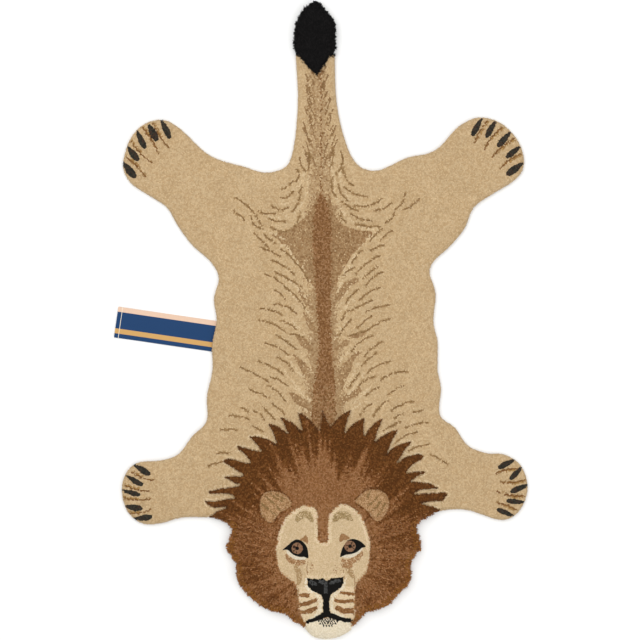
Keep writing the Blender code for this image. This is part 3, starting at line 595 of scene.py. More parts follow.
rugMesh = frame["nodes"]["rug"].data
rugSkin = BVHTree.FromPolygons([vertex.co for vertex in rugMesh.vertices],
                               [list(polygon.vertices) for polygon in rugMesh.polygons])


def pileHeight(spots):  # height of the solid's upper surface
    heights = np.zeros(len(spots))
    down = Vector((0.0, 0.0, -1.0))
    for number, (x, y) in enumerate(spots):
        hit = rugSkin.ray_cast(Vector((x, y, pile["rayStart"])), down)[0]
        if hit is not None:
            heights[number] = hit.z
    return heights


def sectionLoop(height):  # the solid's outline at one height, counter-clockwise
    cut = bmesh.new()
    cut.from_mesh(rugMesh)
    bmesh.ops.remove_doubles(cut, verts=cut.verts, dist=1e-6)
    everything = cut.verts[:] + cut.edges[:] + cut.faces[:]
    made = bmesh.ops.bisect_plane(cut, geom=everything, plane_co=(0, 0, height), plane_no=(0, 0, 1))
    edges = [part for part in made["geom_cut"] if isinstance(part, bmesh.types.BMEdge)]
    links = {}
    for edge in edges:
        for vertex in edge.verts:
            links.setdefault(vertex, []).append(edge.other_vert(vertex))
    best = []
    while links:
        loop = [next(iter(links))]
        while True:
            onward = [other for other in links.pop(loop[-1], []) if other in links]
            if not onward:
                break
            loop.append(onward[0])
        if len(loop) > len(best):
            best = loop
    outline = np.array([vertex.co.xy for vertex in best])
    cut.free()
    turn = np.sum(outline[:, 0] * np.roll(outline[:, 1], -1) - outline[:, 1] * np.roll(outline[:, 0], -1))
    return outline if turn > 0 else outline[::-1]


def loopNormals(loop):  # pointing out of a counter-clockwise loop
    way = unit(np.roll(loop, -1, axis=0) - np.roll(loop, 1, axis=0))
    return np.stack([way[:, 1], -way[:, 0]], axis=1)


rimShape = dict(
    height=0.0059,  # where the solid's rim stands out most
    shaggyWeight=0.5,
    plainWeights=[0.25, 0.25, 0.0, 0.0, 0.0],  # one for each round of evening
    room=0.0028,  # for the loose strands
    shoulder=0.0075,  # how far in the pile has its full height
    outside=0.001,
)
rimLine = evenlySpaced(sectionLoop(rimShape["height"]), pile["rimPitch"])
shaggy = np.isin(areaOf(rimLine + loopNormals(rimLine) * 0.002), (mane, tailTuft))
for plainWeight in rimShape["plainWeights"]:  # the rim's short locks come back as loose strands later
    even = (np.roll(rimLine, 1, axis=0) + np.roll(rimLine, -1, axis=0)) / 2
    weight = np.where(shaggy, rimShape["shaggyWeight"], plainWeight)[:, None]
    rimLine = rimLine * (1 - weight) + even * weight
rimLine -= loopNormals(rimLine) * np.where(shaggy, rimShape["room"], 0.0)[:, None]
rimOut = loopNormals(rimLine)
rimCount = len(rimLine)
rimArea = areaOf(rimLine + rimOut * rimShape["outside"])
topHeight = pileHeight(rimLine - rimOut * rimShape["shoulder"])
print("rim of", rimCount, "tufts")


class TuftField:
    # keeps every tuft clear of the ones set before it
    def __init__(self, cell):
        self.cell = cell  # no gap may be wider than this
        self.grid = {}
        self.spots = []

    def add(self, spots, gap):
        for x, y in spots:
            column = math.floor(x / self.cell)
            row = math.floor(y / self.cell)
            if gap > 0.0 and self.crowded(x, y, column, row, gap * gap):
                continue
            self.grid.setdefault((column, row), []).append((x, y))
            self.spots.append((x, y))

    def crowded(self, x, y, column, row, least):
        for i in (column - 1, column, column + 1):
            for j in (row - 1, row, row + 1):
                for otherX, otherY in self.grid.get((i, j), ()):
                    if (x - otherX) ** 2 + (y - otherY) ** 2 < least:
                        return True
        return False


def sewRows(field, mark, pitch, topRing):  # one row along a line, or a pair just in and out of a shape
    sewn = pile["sewn"]
    if mark["kind"] == "line":
        rows = [evenlySpaced(mark["path"], pitch * sewn["line"], closed=False)]
    else:
        loop = evenlySpaced(mark["path"], pitch * sewn["loop"])
        out = loopNormals(loop) * pitch * sewn["out"]
        rows = [loop - out, loop + out]
    for row in rows:
        field.add(row[insideOf(row, topRing)], pitch * sewn["clear"])


def sewSeam(field, path, pitch, topRing, closed=False):  # a pair of rows along the seam of two areas
    seam = pile["seam"]
    loop = evenlySpaced(path, pitch * seam["step"], closed)
    if closed:
        out = loopNormals(loop)
    else:
        way = unit(np.gradient(loop, axis=0))
        out = np.stack([way[:, 1], -way[:, 0]], axis=1)
    for row in (loop - out * pitch * seam["out"], loop + out * pitch * seam["out"]):
        row = row + rng.normal(0.0, seam["stray"], row.shape)
        field.add(row[insideOf(row, topRing)], pitch * seam["clear"])


def scatterTufts():  # first the rim, the seams and the sewn rows, then staggered rows between them
    topRing = rimLine - rimOut * pile["rimProfile"][0][0]
    low = topRing.min(axis=0)
    high = topRing.max(axis=0)
    field = TuftField(pile["cell"])
    field.add(topRing, 0.0)
    fine = pile["pitch"][face]
    coarse = pile["pitch"][leftBody]
    sewSeam(field, maneLine, coarse, topRing)
    sewSeam(field, tuftPlan[1:7], coarse, topRing)
    for plan in (facePlan, *earPlans):
        sewSeam(field, plan, fine, topRing, closed=True)
    claw = coarse * pile["clawPitch"]
    for marks, pitch in ((pawDrawn, claw), (faceDrawn[::-1], fine), (bodyDrawn + tailDrawn, coarse)):
        for mark in marks:
            if mark["sewn"]:
                sewRows(field, mark, pitch, topRing)
    for wanted in ((face,), (tailTuft,), (mane,), (leftBody, rightBody)):
        pitch = pile["pitch"][wanted[0]]
        columns = np.arange(low[0], high[0], pitch)
        spots = gridOf(columns, np.arange(low[1], high[1], pitch * pile["rowStep"]))
        spots[:, 0] += 0.5 * pitch * (np.arange(len(spots)) // len(columns) % 2)
        spots += rng.uniform(-1, 1, spots.shape) * pile["jitter"] * pitch
        spots = spots[insideOf(spots, topRing)]
        spots = spots[np.isin(areaOf(spots), wanted)]
        field.add(spots, pile["clear"] * pitch)
    return np.array(field.spots)


def groundHeight(plan):  # the solid's surface, with a clean step where the mane begins
    heights = pileHeight(plan)
    area = areaOf(plan)
    body = area <= rightBody
    heights[body] = np.minimum(heights[body], pile["bodyTop"])
    edge = gapTo(plan, maneLine, reach=0.02)
    low, rise, run = pile["maneStep"]
    step = low + rise * softStep(edge, 0.0, run)
    near = (area == mane) & (edge < run * 2)
    heights[near] = np.minimum(np.maximum(heights[near], step[near]), low + rise)
    return heights


def ringEdges(count):
    return [(number, (number + 1) % count) for number in range(count)]


def triangulate(spots, edges, merge=1e-7):  # the plan, its faces, and the spots behind each of its points
    spots = [Vector(spot) for spot in spots]
    corners, _, faces, origins, _, _ = delaunay_2d_cdt(spots, edges, [], 0, merge, True)
    return np.array([(corner.x, corner.y) for corner in corners]), faces, origins


def openEdges(triangles, count):  # starts and ends of the edges that only one triangle has
    starts = triangles.ravel()
    ends = np.roll(triangles, -1, axis=1).ravel()
    alone = ~np.isin(starts * count + ends, ends * count + starts)
    return starts[alone], ends[alone]


def band(upper, nextUpper, lower, nextLower):  # two triangles for each step along a strip
    return [np.stack([upper, lower, nextLower], 1), np.stack([upper, nextLower, nextUpper], 1)]


def groundMesh():
    spots = scatterTufts()
    plan, faces, origins = triangulate(spots, ringEdges(rimCount))
    newNumber = np.full(len(spots), -1)
    for number, origin in enumerate(origins):
        for old in origin:
            newNumber[old] = number
    topRing = newNumber[:rimCount]
    triangles = np.array([list(corner) for corner in faces if len(corner) == 3])
    middles = plan[triangles].mean(axis=1)
    triangles = triangles[insideOf(middles, spots[:rimCount])]
    heights = groundHeight(plan)
    inset, share, lift = pile["rimProfile"][0]
    heights[topRing] = topHeight * share + lift
    points = [np.column_stack([plan, heights])]
    unrolled = [plan]
    rings = [topRing]
    count = len(plan)
    reach = 0.0
    last = (inset, topHeight * share + lift)
    for inset, share, lift in pile["rimProfile"][1:]:
        height = topHeight * share + lift
        reach = reach + np.hypot(last[0] - inset, last[1] - height)
        last = (inset, height)
        wobble = rng.uniform(-pile["wobble"], pile["wobble"], rimCount) if share > 0 else np.zeros(rimCount)
        ring = rimLine - rimOut * (inset + wobble)[:, None]
        points.append(np.column_stack([ring, height]))
        unrolled.append(plan[topRing] + rimOut * reach[:, None])
        rings.append(np.arange(count, count + rimCount))
        count += rimCount
    strips = []
    for level, (upper, lower) in enumerate(zip(rings, rings[1:])):
        nextUpper = np.roll(upper, -1)
        nextLower = np.roll(lower, -1)
        if level % 2:
            strips += band(upper, nextUpper, lower, nextLower)
        else:
            strips += [np.stack([upper, lower, nextUpper], 1), np.stack([nextUpper, lower, nextLower], 1)]
    bottomOf = np.full(count, -1)
    for ring in rings:
        bottomOf[ring] = rings[-1]
    topArea = areaOf(plan[triangles].mean(axis=1))
    area = np.concatenate([topArea] + [rimArea] * len(strips))
    triangles = np.vstack([triangles] + strips)
    return dict(points=np.vstack(points), unrolled=np.vstack(unrolled), triangles=triangles, area=area,
                bottomOf=bottomOf)


ground = groundMesh()
print("ground of", len(ground["points"]), "tufts")


# ---- yarns, in the shades the eye sees

def linear(shade):
    value = np.asarray(shade, dtype=float) / 255.0
    return np.where(value <= 0.04045, value / 12.92, ((value + 0.055) / 1.055) ** 2.4)


yarns = dict(
    sand=[(207, 178, 137), (201, 171, 129), (196, 165, 122), (213, 185, 144)],
    paleSand=[(223, 198, 159), (216, 189, 149)],
    band=[(166, 132, 92), (154, 120, 82), (178, 146, 106)],
    saddle=[(158, 122, 82), (143, 107, 70), (172, 138, 98)],
    spine=[(150, 109, 70), (137, 96, 58), (164, 124, 86), (124, 84, 48)],
    streak=[(156, 124, 83), (144, 112, 73), (134, 102, 64)],
    softStreak=[(172, 141, 99), (164, 133, 91)],
    tailStreak=[(150, 117, 78), (160, 127, 88), (140, 106, 70)],
    claw=[(52, 49, 41), (62, 57, 48), (66, 50, 40), (44, 42, 35)],
    crease=[(142, 102, 58), (126, 86, 48)],
    creasePale=[(176, 140, 84), (164, 126, 76)],
    maneDark=[(124, 76, 34), (114, 68, 28), (134, 86, 42), (102, 59, 22)],
    maneMid=[(146, 94, 52), (132, 84, 44), (158, 106, 64), (120, 74, 36)],
    maneLight=[(160, 110, 68), (150, 100, 58), (176, 126, 84)],
    maneTip=[(186, 138, 94), (174, 124, 78)],
    maneShade=[(92, 54, 18), (100, 60, 22)],
    maneRim=[(156, 104, 46), (144, 92, 38)],
    face=[(212, 186, 147), (205, 178, 138), (220, 196, 159)],
    facePale=[(229, 208, 170), (222, 200, 160), (232, 206, 174)],
    cream=[(235, 221, 194), (227, 212, 182), (240, 228, 204)],
    faceShade=[(180, 150, 108), (170, 139, 98)],
    # painted shade for the carved grooves beside the nose and the muzzle
    paintedGrooveShade=[(172, 138, 96), (160, 124, 84)],
    brow=[(166, 141, 98), (150, 125, 84), (180, 155, 113)],
    browPatch=[(158, 118, 78), (170, 130, 90)],
    eyeShade=[(150, 110, 72), (168, 128, 88), (188, 150, 110)],
    white=[(228, 217, 196), (218, 204, 178)],
    iris=[(136, 100, 74), (148, 112, 86)],
    irisDark=[(60, 42, 30)],
    whisker=[(120, 80, 46), (142, 99, 60), (164, 121, 80), (134, 92, 54)],
    black=[(17, 15, 13), (22, 20, 17)],
    noseGrey=[(74, 74, 73), (60, 60, 59)],
    ear=[(184, 146, 104), (172, 132, 90), (198, 160, 120), (152, 114, 74)],
    earStreak=[(132, 103, 64), (142, 112, 73)],
    tuft=[(17, 15, 15), (23, 21, 21), (12, 11, 11)],
)


def dye(colours, chosen, name, mix=1.0, share=None):  # the chosen tufts, or a share of them, take its shades
    if share is not None:
        chosen = chosen & (rng.random(len(chosen)) < share)
    numbers = np.flatnonzero(chosen)
    shades = linear(yarns[name])
    picked = shades[rng.integers(0, len(shades), len(numbers))]
    colours[numbers] = colours[numbers] * (1 - mix) + picked * mix


def dyed(count, name):  # a field of tufts in one yarn
    everywhere = np.ones(count, dtype=bool)
    colours = np.zeros((count, 3))
    dye(colours, everywhere, name)
    return colours, everywhere


def draw(spots, colours, marks):
    for mark in marks:
        if mark["kind"] == "line":
            distance = gapTo(spots, mark["path"], mark["width"])
            numbers = np.flatnonzero(distance < mark["width"])
            edge = mark["width"] / 2 + rng.uniform(-1, 1, len(numbers)) * mark["ragged"]
            numbers = numbers[distance[numbers] < edge]
        else:
            numbers = np.flatnonzero(insideOf(spots, mark["path"]))
        numbers = numbers[rng.random(len(numbers)) < mark["density"]]
        chosen = np.zeros(len(spots), dtype=bool)
        chosen[numbers] = True
        dye(colours, chosen, mark["yarn"])


def spineMask(spots):
    rows = np.array(spineRows, dtype=float)[::-1] / 1000.0
    centre = np.interp(spots[:, 1], rows[:, 0], rows[:, 1]) + spineX
    half = np.interp(spots[:, 1], rows[:, 0], rows[:, 2])
    half = np.where(spots[:, 1] > rows[-1, 0], 0.0, half)
    return (half - np.abs(spots[:, 0] - centre)) / 0.005


bodyTone = dict(
    patch=dict(size=0.05, above=0.05, share=0.3, mix=0.35),
    tail=dict(axis=[(-18, 600), (-18, 530), (-14, 460), (-10, 400), (-8, 340), (-7, 280)], reach=0.06,
              half=0.023, widening=0.010, uneven=0.006, size=0.016, outer=1.15, inner=0.5, band=0.75,
              saddle=0.24),
    beside=dict(half=0.034, uneven=0.012, size=0.03, widening=0.010, back=-0.06, shoulder=-0.20, outer=1.35,
                inner=0.5, end=0.27, band=1.15, saddle=0.30),
    saddleBand=0.94,
    spineBlur=0.7,
    darkSpine=dict(share=0.45, start=-0.14, end=-0.20),
    paintedLockHighlight=dict(reach=0.0055, back=-0.26, share=0.6),
)


def bodyColours(spots):
    count = len(spots)
    colours, everywhere = dyed(count, "sand")
    patch = bodyTone["patch"]
    dye(colours, cloud(spots, patch["size"]) > patch["above"], "paleSand", patch["mix"], patch["share"])
    tail = bodyTone["tail"]
    distance, along = lineDistance(spots, smoothPath(place(*tail["axis"])), tail["reach"])
    half = tail["half"] + tail["widening"] * along + tail["uneven"] * cloud(spots, tail["size"])
    fade = softStep(distance, half * tail["outer"], half * tail["inner"])
    dye(colours, everywhere, "band", 0.5, tail["band"] * fade)
    dye(colours, everywhere, "saddle", 0.8, tail["saddle"] * fade * fade)
    beside = bodyTone["beside"]
    half = beside["half"] + beside["uneven"] * cloud(spots, beside["size"]) \
        + beside["widening"] * softStep(spots[:, 1], beside["back"], beside["shoulder"])
    fade = softStep(np.abs(spots[:, 0] - spineX), half * beside["outer"], half * beside["inner"])
    fade *= spots[:, 1] < beside["end"]
    dye(colours, everywhere, "band", 0.7, beside["band"] * fade)
    dye(colours, everywhere, "saddle", 0.8, beside["saddle"] * fade)
    for corners, density in saddles:
        inSaddle = insideOf(spots, smoothPath(place(*corners), closed=True))
        dye(colours, inSaddle, "band", 0.9, bodyTone["saddleBand"])
        dye(colours, inSaddle, "saddle", share=density)
    draw(spots, colours, bodyDrawn)
    draw(spots, colours, tailDrawn)
    spine = spineMask(spots) + rng.uniform(-bodyTone["spineBlur"], bodyTone["spineBlur"], count)
    dye(colours, spine > 0.0, "spine")
    dark = bodyTone["darkSpine"]
    darker = dark["share"] * softStep(spots[:, 1], dark["start"], dark["end"])
    dye(colours, spine > 0.0, "saddle", share=darker)
    # painted highlight: pale tufts on the body along the locks' edge, as if the raised edge caught the light
    halo = bodyTone["paintedLockHighlight"]
    besideLocks = (gapTo(spots, maneLine, reach=0.01) < halo["reach"]) & (spots[:, 1] < halo["back"])
    dye(colours, besideLocks, "paleSand", share=halo["share"])
    draw(spots, colours, pawDrawn)
    return colours


# ---- the mane

headCentre = place((2, -560))[0]


def fanNoise(spots, turns, run, shift=0.0):  # noise drawn out along the hair, away from the face
    away = spots - headCentre
    angle = np.arctan2(away[:, 1], away[:, 0])
    radius = np.hypot(away[:, 0], away[:, 1])
    return np.array([noise.noise(Vector((math.cos(a) * turns, math.sin(a) * turns, r / run + shift)))
                     for a, r in zip(angle, radius)])


maneTone = dict(
    upper=(-0.52, -0.42),  # between these heights the crown passes into the beard
    fan=(10.0, 0.40), fineFan=(34.0, 0.16, 5.0), flames=(16.0, 0.30, 9.0),
    crown=dict(fan=0.030, flames=0.060, fineFan=0.040, start=0.012, end=0.112),  # metres in from the locks
    sides=dict(darker=0.42, start=0.070, end=0.130),
    brow=dict(lighter=0.30, gap=(0.022, 0.004), across=(0.060, 0.020)),
    beard=dict(base=0.52, besideFace=0.24, gap=(0.055, 0.006), flames=0.30, fineFan=0.28, cloud=0.16,
               size=0.014),
    rays=(0.10, 0.22),
    blur=(0.22, 0.04),
    dark=0.38,
    light=0.70,
    shade=0.10,
    blaze=dict(half=0.030, end=-0.43, share=0.40),
    lockEdge=dict(reach=0.0036, tone=0.5, share=0.55),
    faceEdge=dict(reach=0.0040, share=0.22),
    rim=dict(reach=0.015, end=-0.47, share=0.6),
    paintedEarGrooveShade=dict(reach=0.0030, share=0.6),
)


def maneColours(spots):
    count = len(spots)
    distance = gapTo(spots, maneLine, reach=0.3)
    faceGap = gapTo(spots, ringOf(facePlan), reach=0.3)
    across = np.abs(spots[:, 0] - spineX)
    upper = softStep(spots[:, 1], *maneTone["upper"])
    fan, fineFan, flames = (fanNoise(spots, *maneTone[name]) for name in ("fan", "fineFan", "flames"))
    crown = maneTone["crown"]
    depth = distance + crown["fan"] * fan + crown["flames"] * flames + crown["fineFan"] * fineFan
    tone = softStep(depth, crown["start"], crown["end"])
    sides = maneTone["sides"]
    tone *= 1 - sides["darker"] * softStep(across, sides["start"], sides["end"])
    brow = maneTone["brow"]
    tone += brow["lighter"] * softStep(faceGap, *brow["gap"]) * softStep(across, *brow["across"])
    beard = maneTone["beard"]
    lower = beard["base"] + beard["besideFace"] * softStep(faceGap, *beard["gap"])
    lower = lower + beard["flames"] * flames + beard["fineFan"] * fineFan
    lower = lower + beard["cloud"] * cloud(spots, beard["size"], 2.0)
    tone = tone * upper + lower * (1 - upper)
    rays = maneTone["rays"][0] + maneTone["rays"][1] * upper
    blur = maneTone["blur"][0] - maneTone["blur"][1] * upper
    tone += rays * fineFan + rng.uniform(-1, 1, count) * blur
    colours, _ = dyed(count, "maneMid")
    dye(colours, tone < maneTone["dark"], "maneDark")
    dye(colours, tone > maneTone["light"], "maneLight")
    dye(colours, tone > maneTone["dark"], "maneTip", 0.75, 0.15)
    dye(colours, tone < maneTone["shade"], "maneShade", 0.8, 0.45)
    edge = maneTone["faceEdge"]
    dye(colours, faceGap < edge["reach"], "maneTip", share=edge["share"])
    blaze = maneTone["blaze"]
    dye(colours, (across < blaze["half"]) & (spots[:, 1] < blaze["end"]), "maneTip", 0.8, blaze["share"])
    edge = maneTone["lockEdge"]
    dye(colours, (distance < edge["reach"]) & (tone < edge["tone"]), "maneShade", share=edge["share"])
    rim = maneTone["rim"]
    nearRim = (gapTo(spots, ringOf(rimLine), reach=0.02) < rim["reach"]) & (spots[:, 1] < rim["end"])
    dye(colours, nearRim, "maneRim", 0.85, rim["share"])
    # painted shade: a dark ring of mane tufts in the carved groove around each ear
    edge = maneTone["paintedEarGrooveShade"]
    for plan in earPlans:
        dye(colours, gapTo(spots, ringOf(plan), reach=0.01) < edge["reach"], "maneDark", share=edge["share"])
    return colours


faceTone = dict(
    lobes=dict(reach=0.0085, above=-0.54, share=0.75),
    muzzle=dict(below=-0.626, share=0.8),
    bridge=dict(centres=[(-31, -583), (31, -588)], squeeze=(1.6, 1.0), reach=0.014, share=0.16),
    seam=dict(reach=0.0026, above=-0.69, share=0.30),
)


def faceColours(spots):
    colours, _ = dyed(len(spots), "face")
    edge = gapTo(spots, ringOf(facePlan), reach=0.02)
    lobes = faceTone["lobes"]
    dye(colours, (edge < lobes["reach"]) & (spots[:, 1] > lobes["above"]), "facePale", share=lobes["share"])
    dye(colours, spots[:, 1] < faceTone["muzzle"]["below"], "facePale", share=faceTone["muzzle"]["share"])
    bridge = faceTone["bridge"]
    for centre in bridge["centres"]:
        distance = np.linalg.norm((spots - place(centre)[0]) * np.array(bridge["squeeze"]), axis=1)
        dye(colours, distance < bridge["reach"], "browPatch", share=bridge["share"])
    draw(spots, colours, faceDrawn)
    seam = faceTone["seam"]
    dye(colours, (edge < seam["reach"]) & (spots[:, 1] > seam["above"]), "maneTip", share=seam["share"])
    return colours


def tuftColours(spots):
    return dyed(len(spots), "tuft")[0]


spotPlan = ground["points"][:, :2]
spotArea = areaOf(spotPlan)
yarnColour = np.zeros((len(spotPlan), 3))
for areas, colouring in (((leftBody, rightBody), bodyColours), ((mane,), maneColours), ((face,), faceColours),
                         ((tailTuft,), tuftColours)):
    chosen = np.isin(spotArea, areas)
    yarnColour[chosen] = colouring(spotPlan[chosen])
yarnColour *= rng.uniform(0.95, 1.05, (len(spotPlan), 1))
print("yarns dyed")


# ---- tufts: every ground point becomes a soft cone with its own yarn; the shared hollows between them get painted shade

bodyTuft = dict(rise=0.0004, sink=0.0015, lean=0.0004, paintedHollowShade=0.72)
tuftShape = {
    "leftBodyPile": dict(bodyTuft, area=leftBody),
    "rightBodyPile": dict(bodyTuft, area=rightBody),
    "manePile": dict(area=mane, rise=0.0008, sink=0.0024, lean=0.0008, paintedHollowShade=0.62),
    "facePile": dict(area=face, rise=0.0003, sink=0.0010, lean=0.0002, paintedHollowShade=0.78),
    "tailTuftPile": dict(area=tailTuft, rise=0.0008, sink=0.0030, lean=0.0010, paintedHollowShade=0.60),
}
# painted shade as shares of the yarn: tips, corners at a lone edge, walls and underside, feet of the seam
# walls
paintedTuftShade = dict(tip=1.0, edge=0.85, side=0.6, seam=0.5)
unfold = dict(pile=0.84, gap=0.02, under=(0.13, 0.96), side=(1.0, 0.4))  # shares of the UV square


def triangleNormals(points, triangles):
    first, second, third = (points[triangles[:, corner]] for corner in range(3))
    return unit(np.cross(second - first, third - first))


def closeGround(chosen):  # one area's ground with walls at its seams and a flat underside
    triangles = ground["triangles"][chosen]
    used = np.unique(triangles)
    bottoms = ground["bottomOf"][used]
    used = np.unique(np.concatenate([used, bottoms[bottoms >= 0]]))
    renumber = np.full(len(ground["points"]), -1)
    renumber[used] = np.arange(len(used))
    points = ground["points"][used]
    unrolled = ground["unrolled"][used]
    colours = yarnColour[used]
    bottomOf = ground["bottomOf"][used]
    bottomOf = np.where(bottomOf >= 0, renumber[bottomOf], -1)
    triangles = renumber[triangles]
    count = len(points)
    borderStarts, borderEnds = openEdges(triangles, count)
    seam = np.unique(borderStarts[bottomOf[borderStarts] < 0])
    foot = np.array([(0.0, 0.0, pile["floorGap"])])
    newPoints = points[seam] * np.array([(1.0, 1.0, 0.0)]) + foot
    bottomOf[seam] = count + np.arange(len(seam))
    points = np.vstack([points, newPoints])
    unrolled = np.vstack([unrolled, unrolled[seam]])
    # painted shade: the new points at the foot of a seam wall take a darker copy of their yarn
    colours = np.vstack([colours, colours[seam] * paintedTuftShade["seam"]])
    low = bottomOf[borderStarts]
    lowNext = bottomOf[borderEnds]
    walls = np.vstack(band(borderStarts, borderEnds, low, lowNext))
    real = (walls[:, 0] != walls[:, 1]) & (walls[:, 1] != walls[:, 2]) & (walls[:, 0] != walls[:, 2])
    walls = walls[real]
    rimEdges = low != lowNext
    loopStarts = low[rimEdges]
    loopEnds = lowNext[rimEdges]
    names = np.unique(np.concatenate([loopStarts, loopEnds]))
    position = {name: number for number, name in enumerate(names)}
    edges = [(position[a], position[b]) for a, b in zip(loopStarts, loopEnds)]
    plan, faces, origins = triangulate(points[names, :2], edges, 1e-8)
    middles = np.array([plan[list(corner)].mean(axis=0) for corner in faces])
    crossed = np.zeros(len(middles), dtype=bool)
    for a, b in zip(points[loopStarts, :2], points[loopEnds, :2]):
        if a[1] != b[1]:
            spans = (a[1] > middles[:, 1]) != (b[1] > middles[:, 1])
            crossed ^= spans & (middles[:, 0] < a[0] + (middles[:, 1] - a[1]) * (b[0] - a[0]) / (b[1] - a[1]))
    floor = []
    for corner, kept in zip(faces, crossed):
        if kept and all(origins[number] for number in corner):
            floor.append([names[origins[number][0]] for number in corner][::-1])
    return points, unrolled, colours, triangles, walls, np.array(floor)


def tuftPiece(name):
    shape = tuftShape[name]
    points, unrolled, colours, triangles, walls, floor = closeGround(ground["area"] == shape["area"])
    plain = np.vstack([walls, floor])
    count = len(points)
    pileNormals = triangleNormals(points, triangles)
    vertexNormals = np.zeros((count, 3))
    for corner in range(3):
        np.add.at(vertexNormals, triangles[:, corner], pileNormals)
    vertexNormals = unit(vertexNormals)
    free = np.ones(count, dtype=bool)
    free[plain.ravel()] = False
    free &= np.isin(np.arange(count), triangles)
    lift = shape["rise"] * rng.uniform(0.2, 1.8, count) * free
    lean = rng.normal(0.0, shape["lean"], (count, 3)) * np.array((1, 1, 0)) * free[:, None]
    summits = points + vertexNormals * lift[:, None] + lean
    hollows = points[triangles].mean(axis=1)
    depth = shape["sink"] * rng.uniform(0.6, 1.25, len(triangles))
    hollows -= pileNormals * depth[:, None]
    hollows[:, 2] = np.maximum(hollows[:, 2], pile["floorGap"] * 0.8)
    hollowPlan = unrolled[triangles].mean(axis=1)
    starts = triangles.ravel()
    ends = np.roll(triangles, -1, axis=1).ravel()
    own = np.repeat(np.arange(len(triangles)), 3)
    keys = starts * count + ends
    backKeys = ends * count + starts
    order = np.argsort(keys)
    found = np.searchsorted(keys[order], backKeys)
    found = np.minimum(found, len(keys) - 1)
    partner = order[found]
    paired = keys[partner] == backKeys
    across = own[partner]
    cells = np.where(paired[:, None], np.stack([starts, count + across, count + own], 1),
                     np.stack([starts, ends, count + own], 1))
    faces = np.vstack([cells, plain])
    vertices = np.vstack([summits, hollows])
    # painted shade: the hollows, the corners at a lone edge, the walls and the underside are darkened as if
    # in shadow
    shade = np.full((len(faces), 3), shape["paintedHollowShade"])
    shade[:, 0] = paintedTuftShade["tip"]
    shade[len(cells):] = paintedTuftShade["side"]
    shade[np.flatnonzero(~paired), 1] = paintedTuftShade["edge"]
    cornerColours = colours[faces[:, 0]][:, None, :] * shade[:, :, None]
    allPlan = np.vstack([unrolled, hollowPlan])
    low = allPlan.min(axis=0)
    size = allPlan.max(axis=0) - low
    uv = (allPlan[faces] - low) / size * np.array((unfold["pile"], 1.0))
    under = vertices[faces[len(cells):]]
    sideStep = (pile["floorGap"] * 4 - under[:, :, 2:3]) * np.array(unfold["side"])
    uv[len(cells):] = (under[:, :, :2] - low + sideStep) / size * np.array(unfold["under"]) \
        + np.array((unfold["pile"] + unfold["gap"], unfold["gap"]))
    piece = meshPiece(name, vertices, faces, len(cells))
    paintCorners(piece, cornerColours)
    layer = piece.data.uv_layers.new(name="OFBake")
    layer.data.foreach_set("uv", np.clip(uv, 0.001, 0.999).astype(np.float32).ravel())
    print(name, len(faces), "triangles")
    return piece


def meshPiece(name, vertices, faces, smoothCount=None):  # faces after smoothCount stay flat
    mesh = bpy.data.meshes.new(name)
    mesh.vertices.add(len(vertices))
    mesh.vertices.foreach_set("co", vertices.astype(np.float32).ravel())
    mesh.loops.add(3 * len(faces))
    mesh.loops.foreach_set("vertex_index", faces.astype(np.int32).ravel())
    mesh.polygons.add(len(faces))
    mesh.polygons.foreach_set("loop_start", np.arange(0, 3 * len(faces), 3, dtype=np.int32))
    smooth = np.arange(len(faces)) < (len(faces) if smoothCount is None else smoothCount)
    mesh.polygons.foreach_set("use_smooth", smooth)
    mesh.update(calc_edges=True)
    piece = bpy.data.objects.new(name, mesh)
    bpy.context.scene.collection.objects.link(piece)
    return piece


def paintCorners(piece, cornerColours):
    layer = piece.data.color_attributes.new("yarn", "FLOAT_COLOR", "CORNER")
    flat = np.ones((cornerColours.shape[0] * 3, 4), dtype=np.float32)
    flat[:, :3] = np.clip(cornerColours.reshape(-1, 3), 0.0, 1.0)
    layer.data.foreach_set("color", flat.ravel())


pilePieces = {name: tuftPiece(name) for name in tuftShape}
print("pile cut")


# ---- loose strands: long shag at the mane's rim and in the tail's tuft

strand = dict(
    levels=[(0.0, 0.8, 0.62), (0.35, 1.0, 0.9), (0.72, 0.72, 1.0)],  # share of the length, slimness, and tone as painted shade, darkest at the root
    paintedTipLight=1.12, turn=0.5, lowest=0.0016,
)


def strands(name, roots, ways, lengths, widths, colours, droop):  # three-sided yarn ends with a point
    up = np.array((0.0, 0.0, 1.0))
    sideways = unit(np.cross(ways, up))
    lifted = np.cross(sideways, ways)
    vertices = []
    for share, slim, _ in strand["levels"]:
        middle = roots + ways * (lengths * share)[:, None] - up * (droop * lengths * share**2)[:, None]
        for corner in range(3):
            angle = 2.0 * math.pi * corner / 3 + strand["turn"]
            reach = (widths * slim / 2)[:, None]
            vertices.append(middle + (sideways * math.cos(angle) + lifted * math.sin(angle)) * reach)
    vertices.append(roots + ways * lengths[:, None] - up * (droop * lengths)[:, None])
    vertices = np.stack(vertices, axis=1)
    vertices[:, :, 2] = np.maximum(vertices[:, :, 2], strand["lowest"])
    template = [(0, 2, 1)]
    for level in (0, 3):
        for corner in range(3):
            a = level + corner
            b = level + (corner + 1) % 3
            template += [(a, b, b + 3), (a, b + 3, a + 3)]
    template = np.array(template + [(6 + corner, 6 + (corner + 1) % 3, 9) for corner in range(3)])
    faces = (np.arange(len(roots))[:, None, None] * 10 + template[None]).reshape(-1, 3)
    # painted shade at each strand's root and a painted highlight at its point
    tone = np.append(np.repeat([tone for _, _, tone in strand["levels"]], 3), strand["paintedTipLight"])
    shades = tone[template][None, :, :, None] * colours[:, None, None, :]
    piece = meshPiece(name, vertices.reshape(-1, 3), faces)
    paintCorners(piece, shades.reshape(-1, 3, 3))
    print(name, len(faces), "triangles")
    return piece


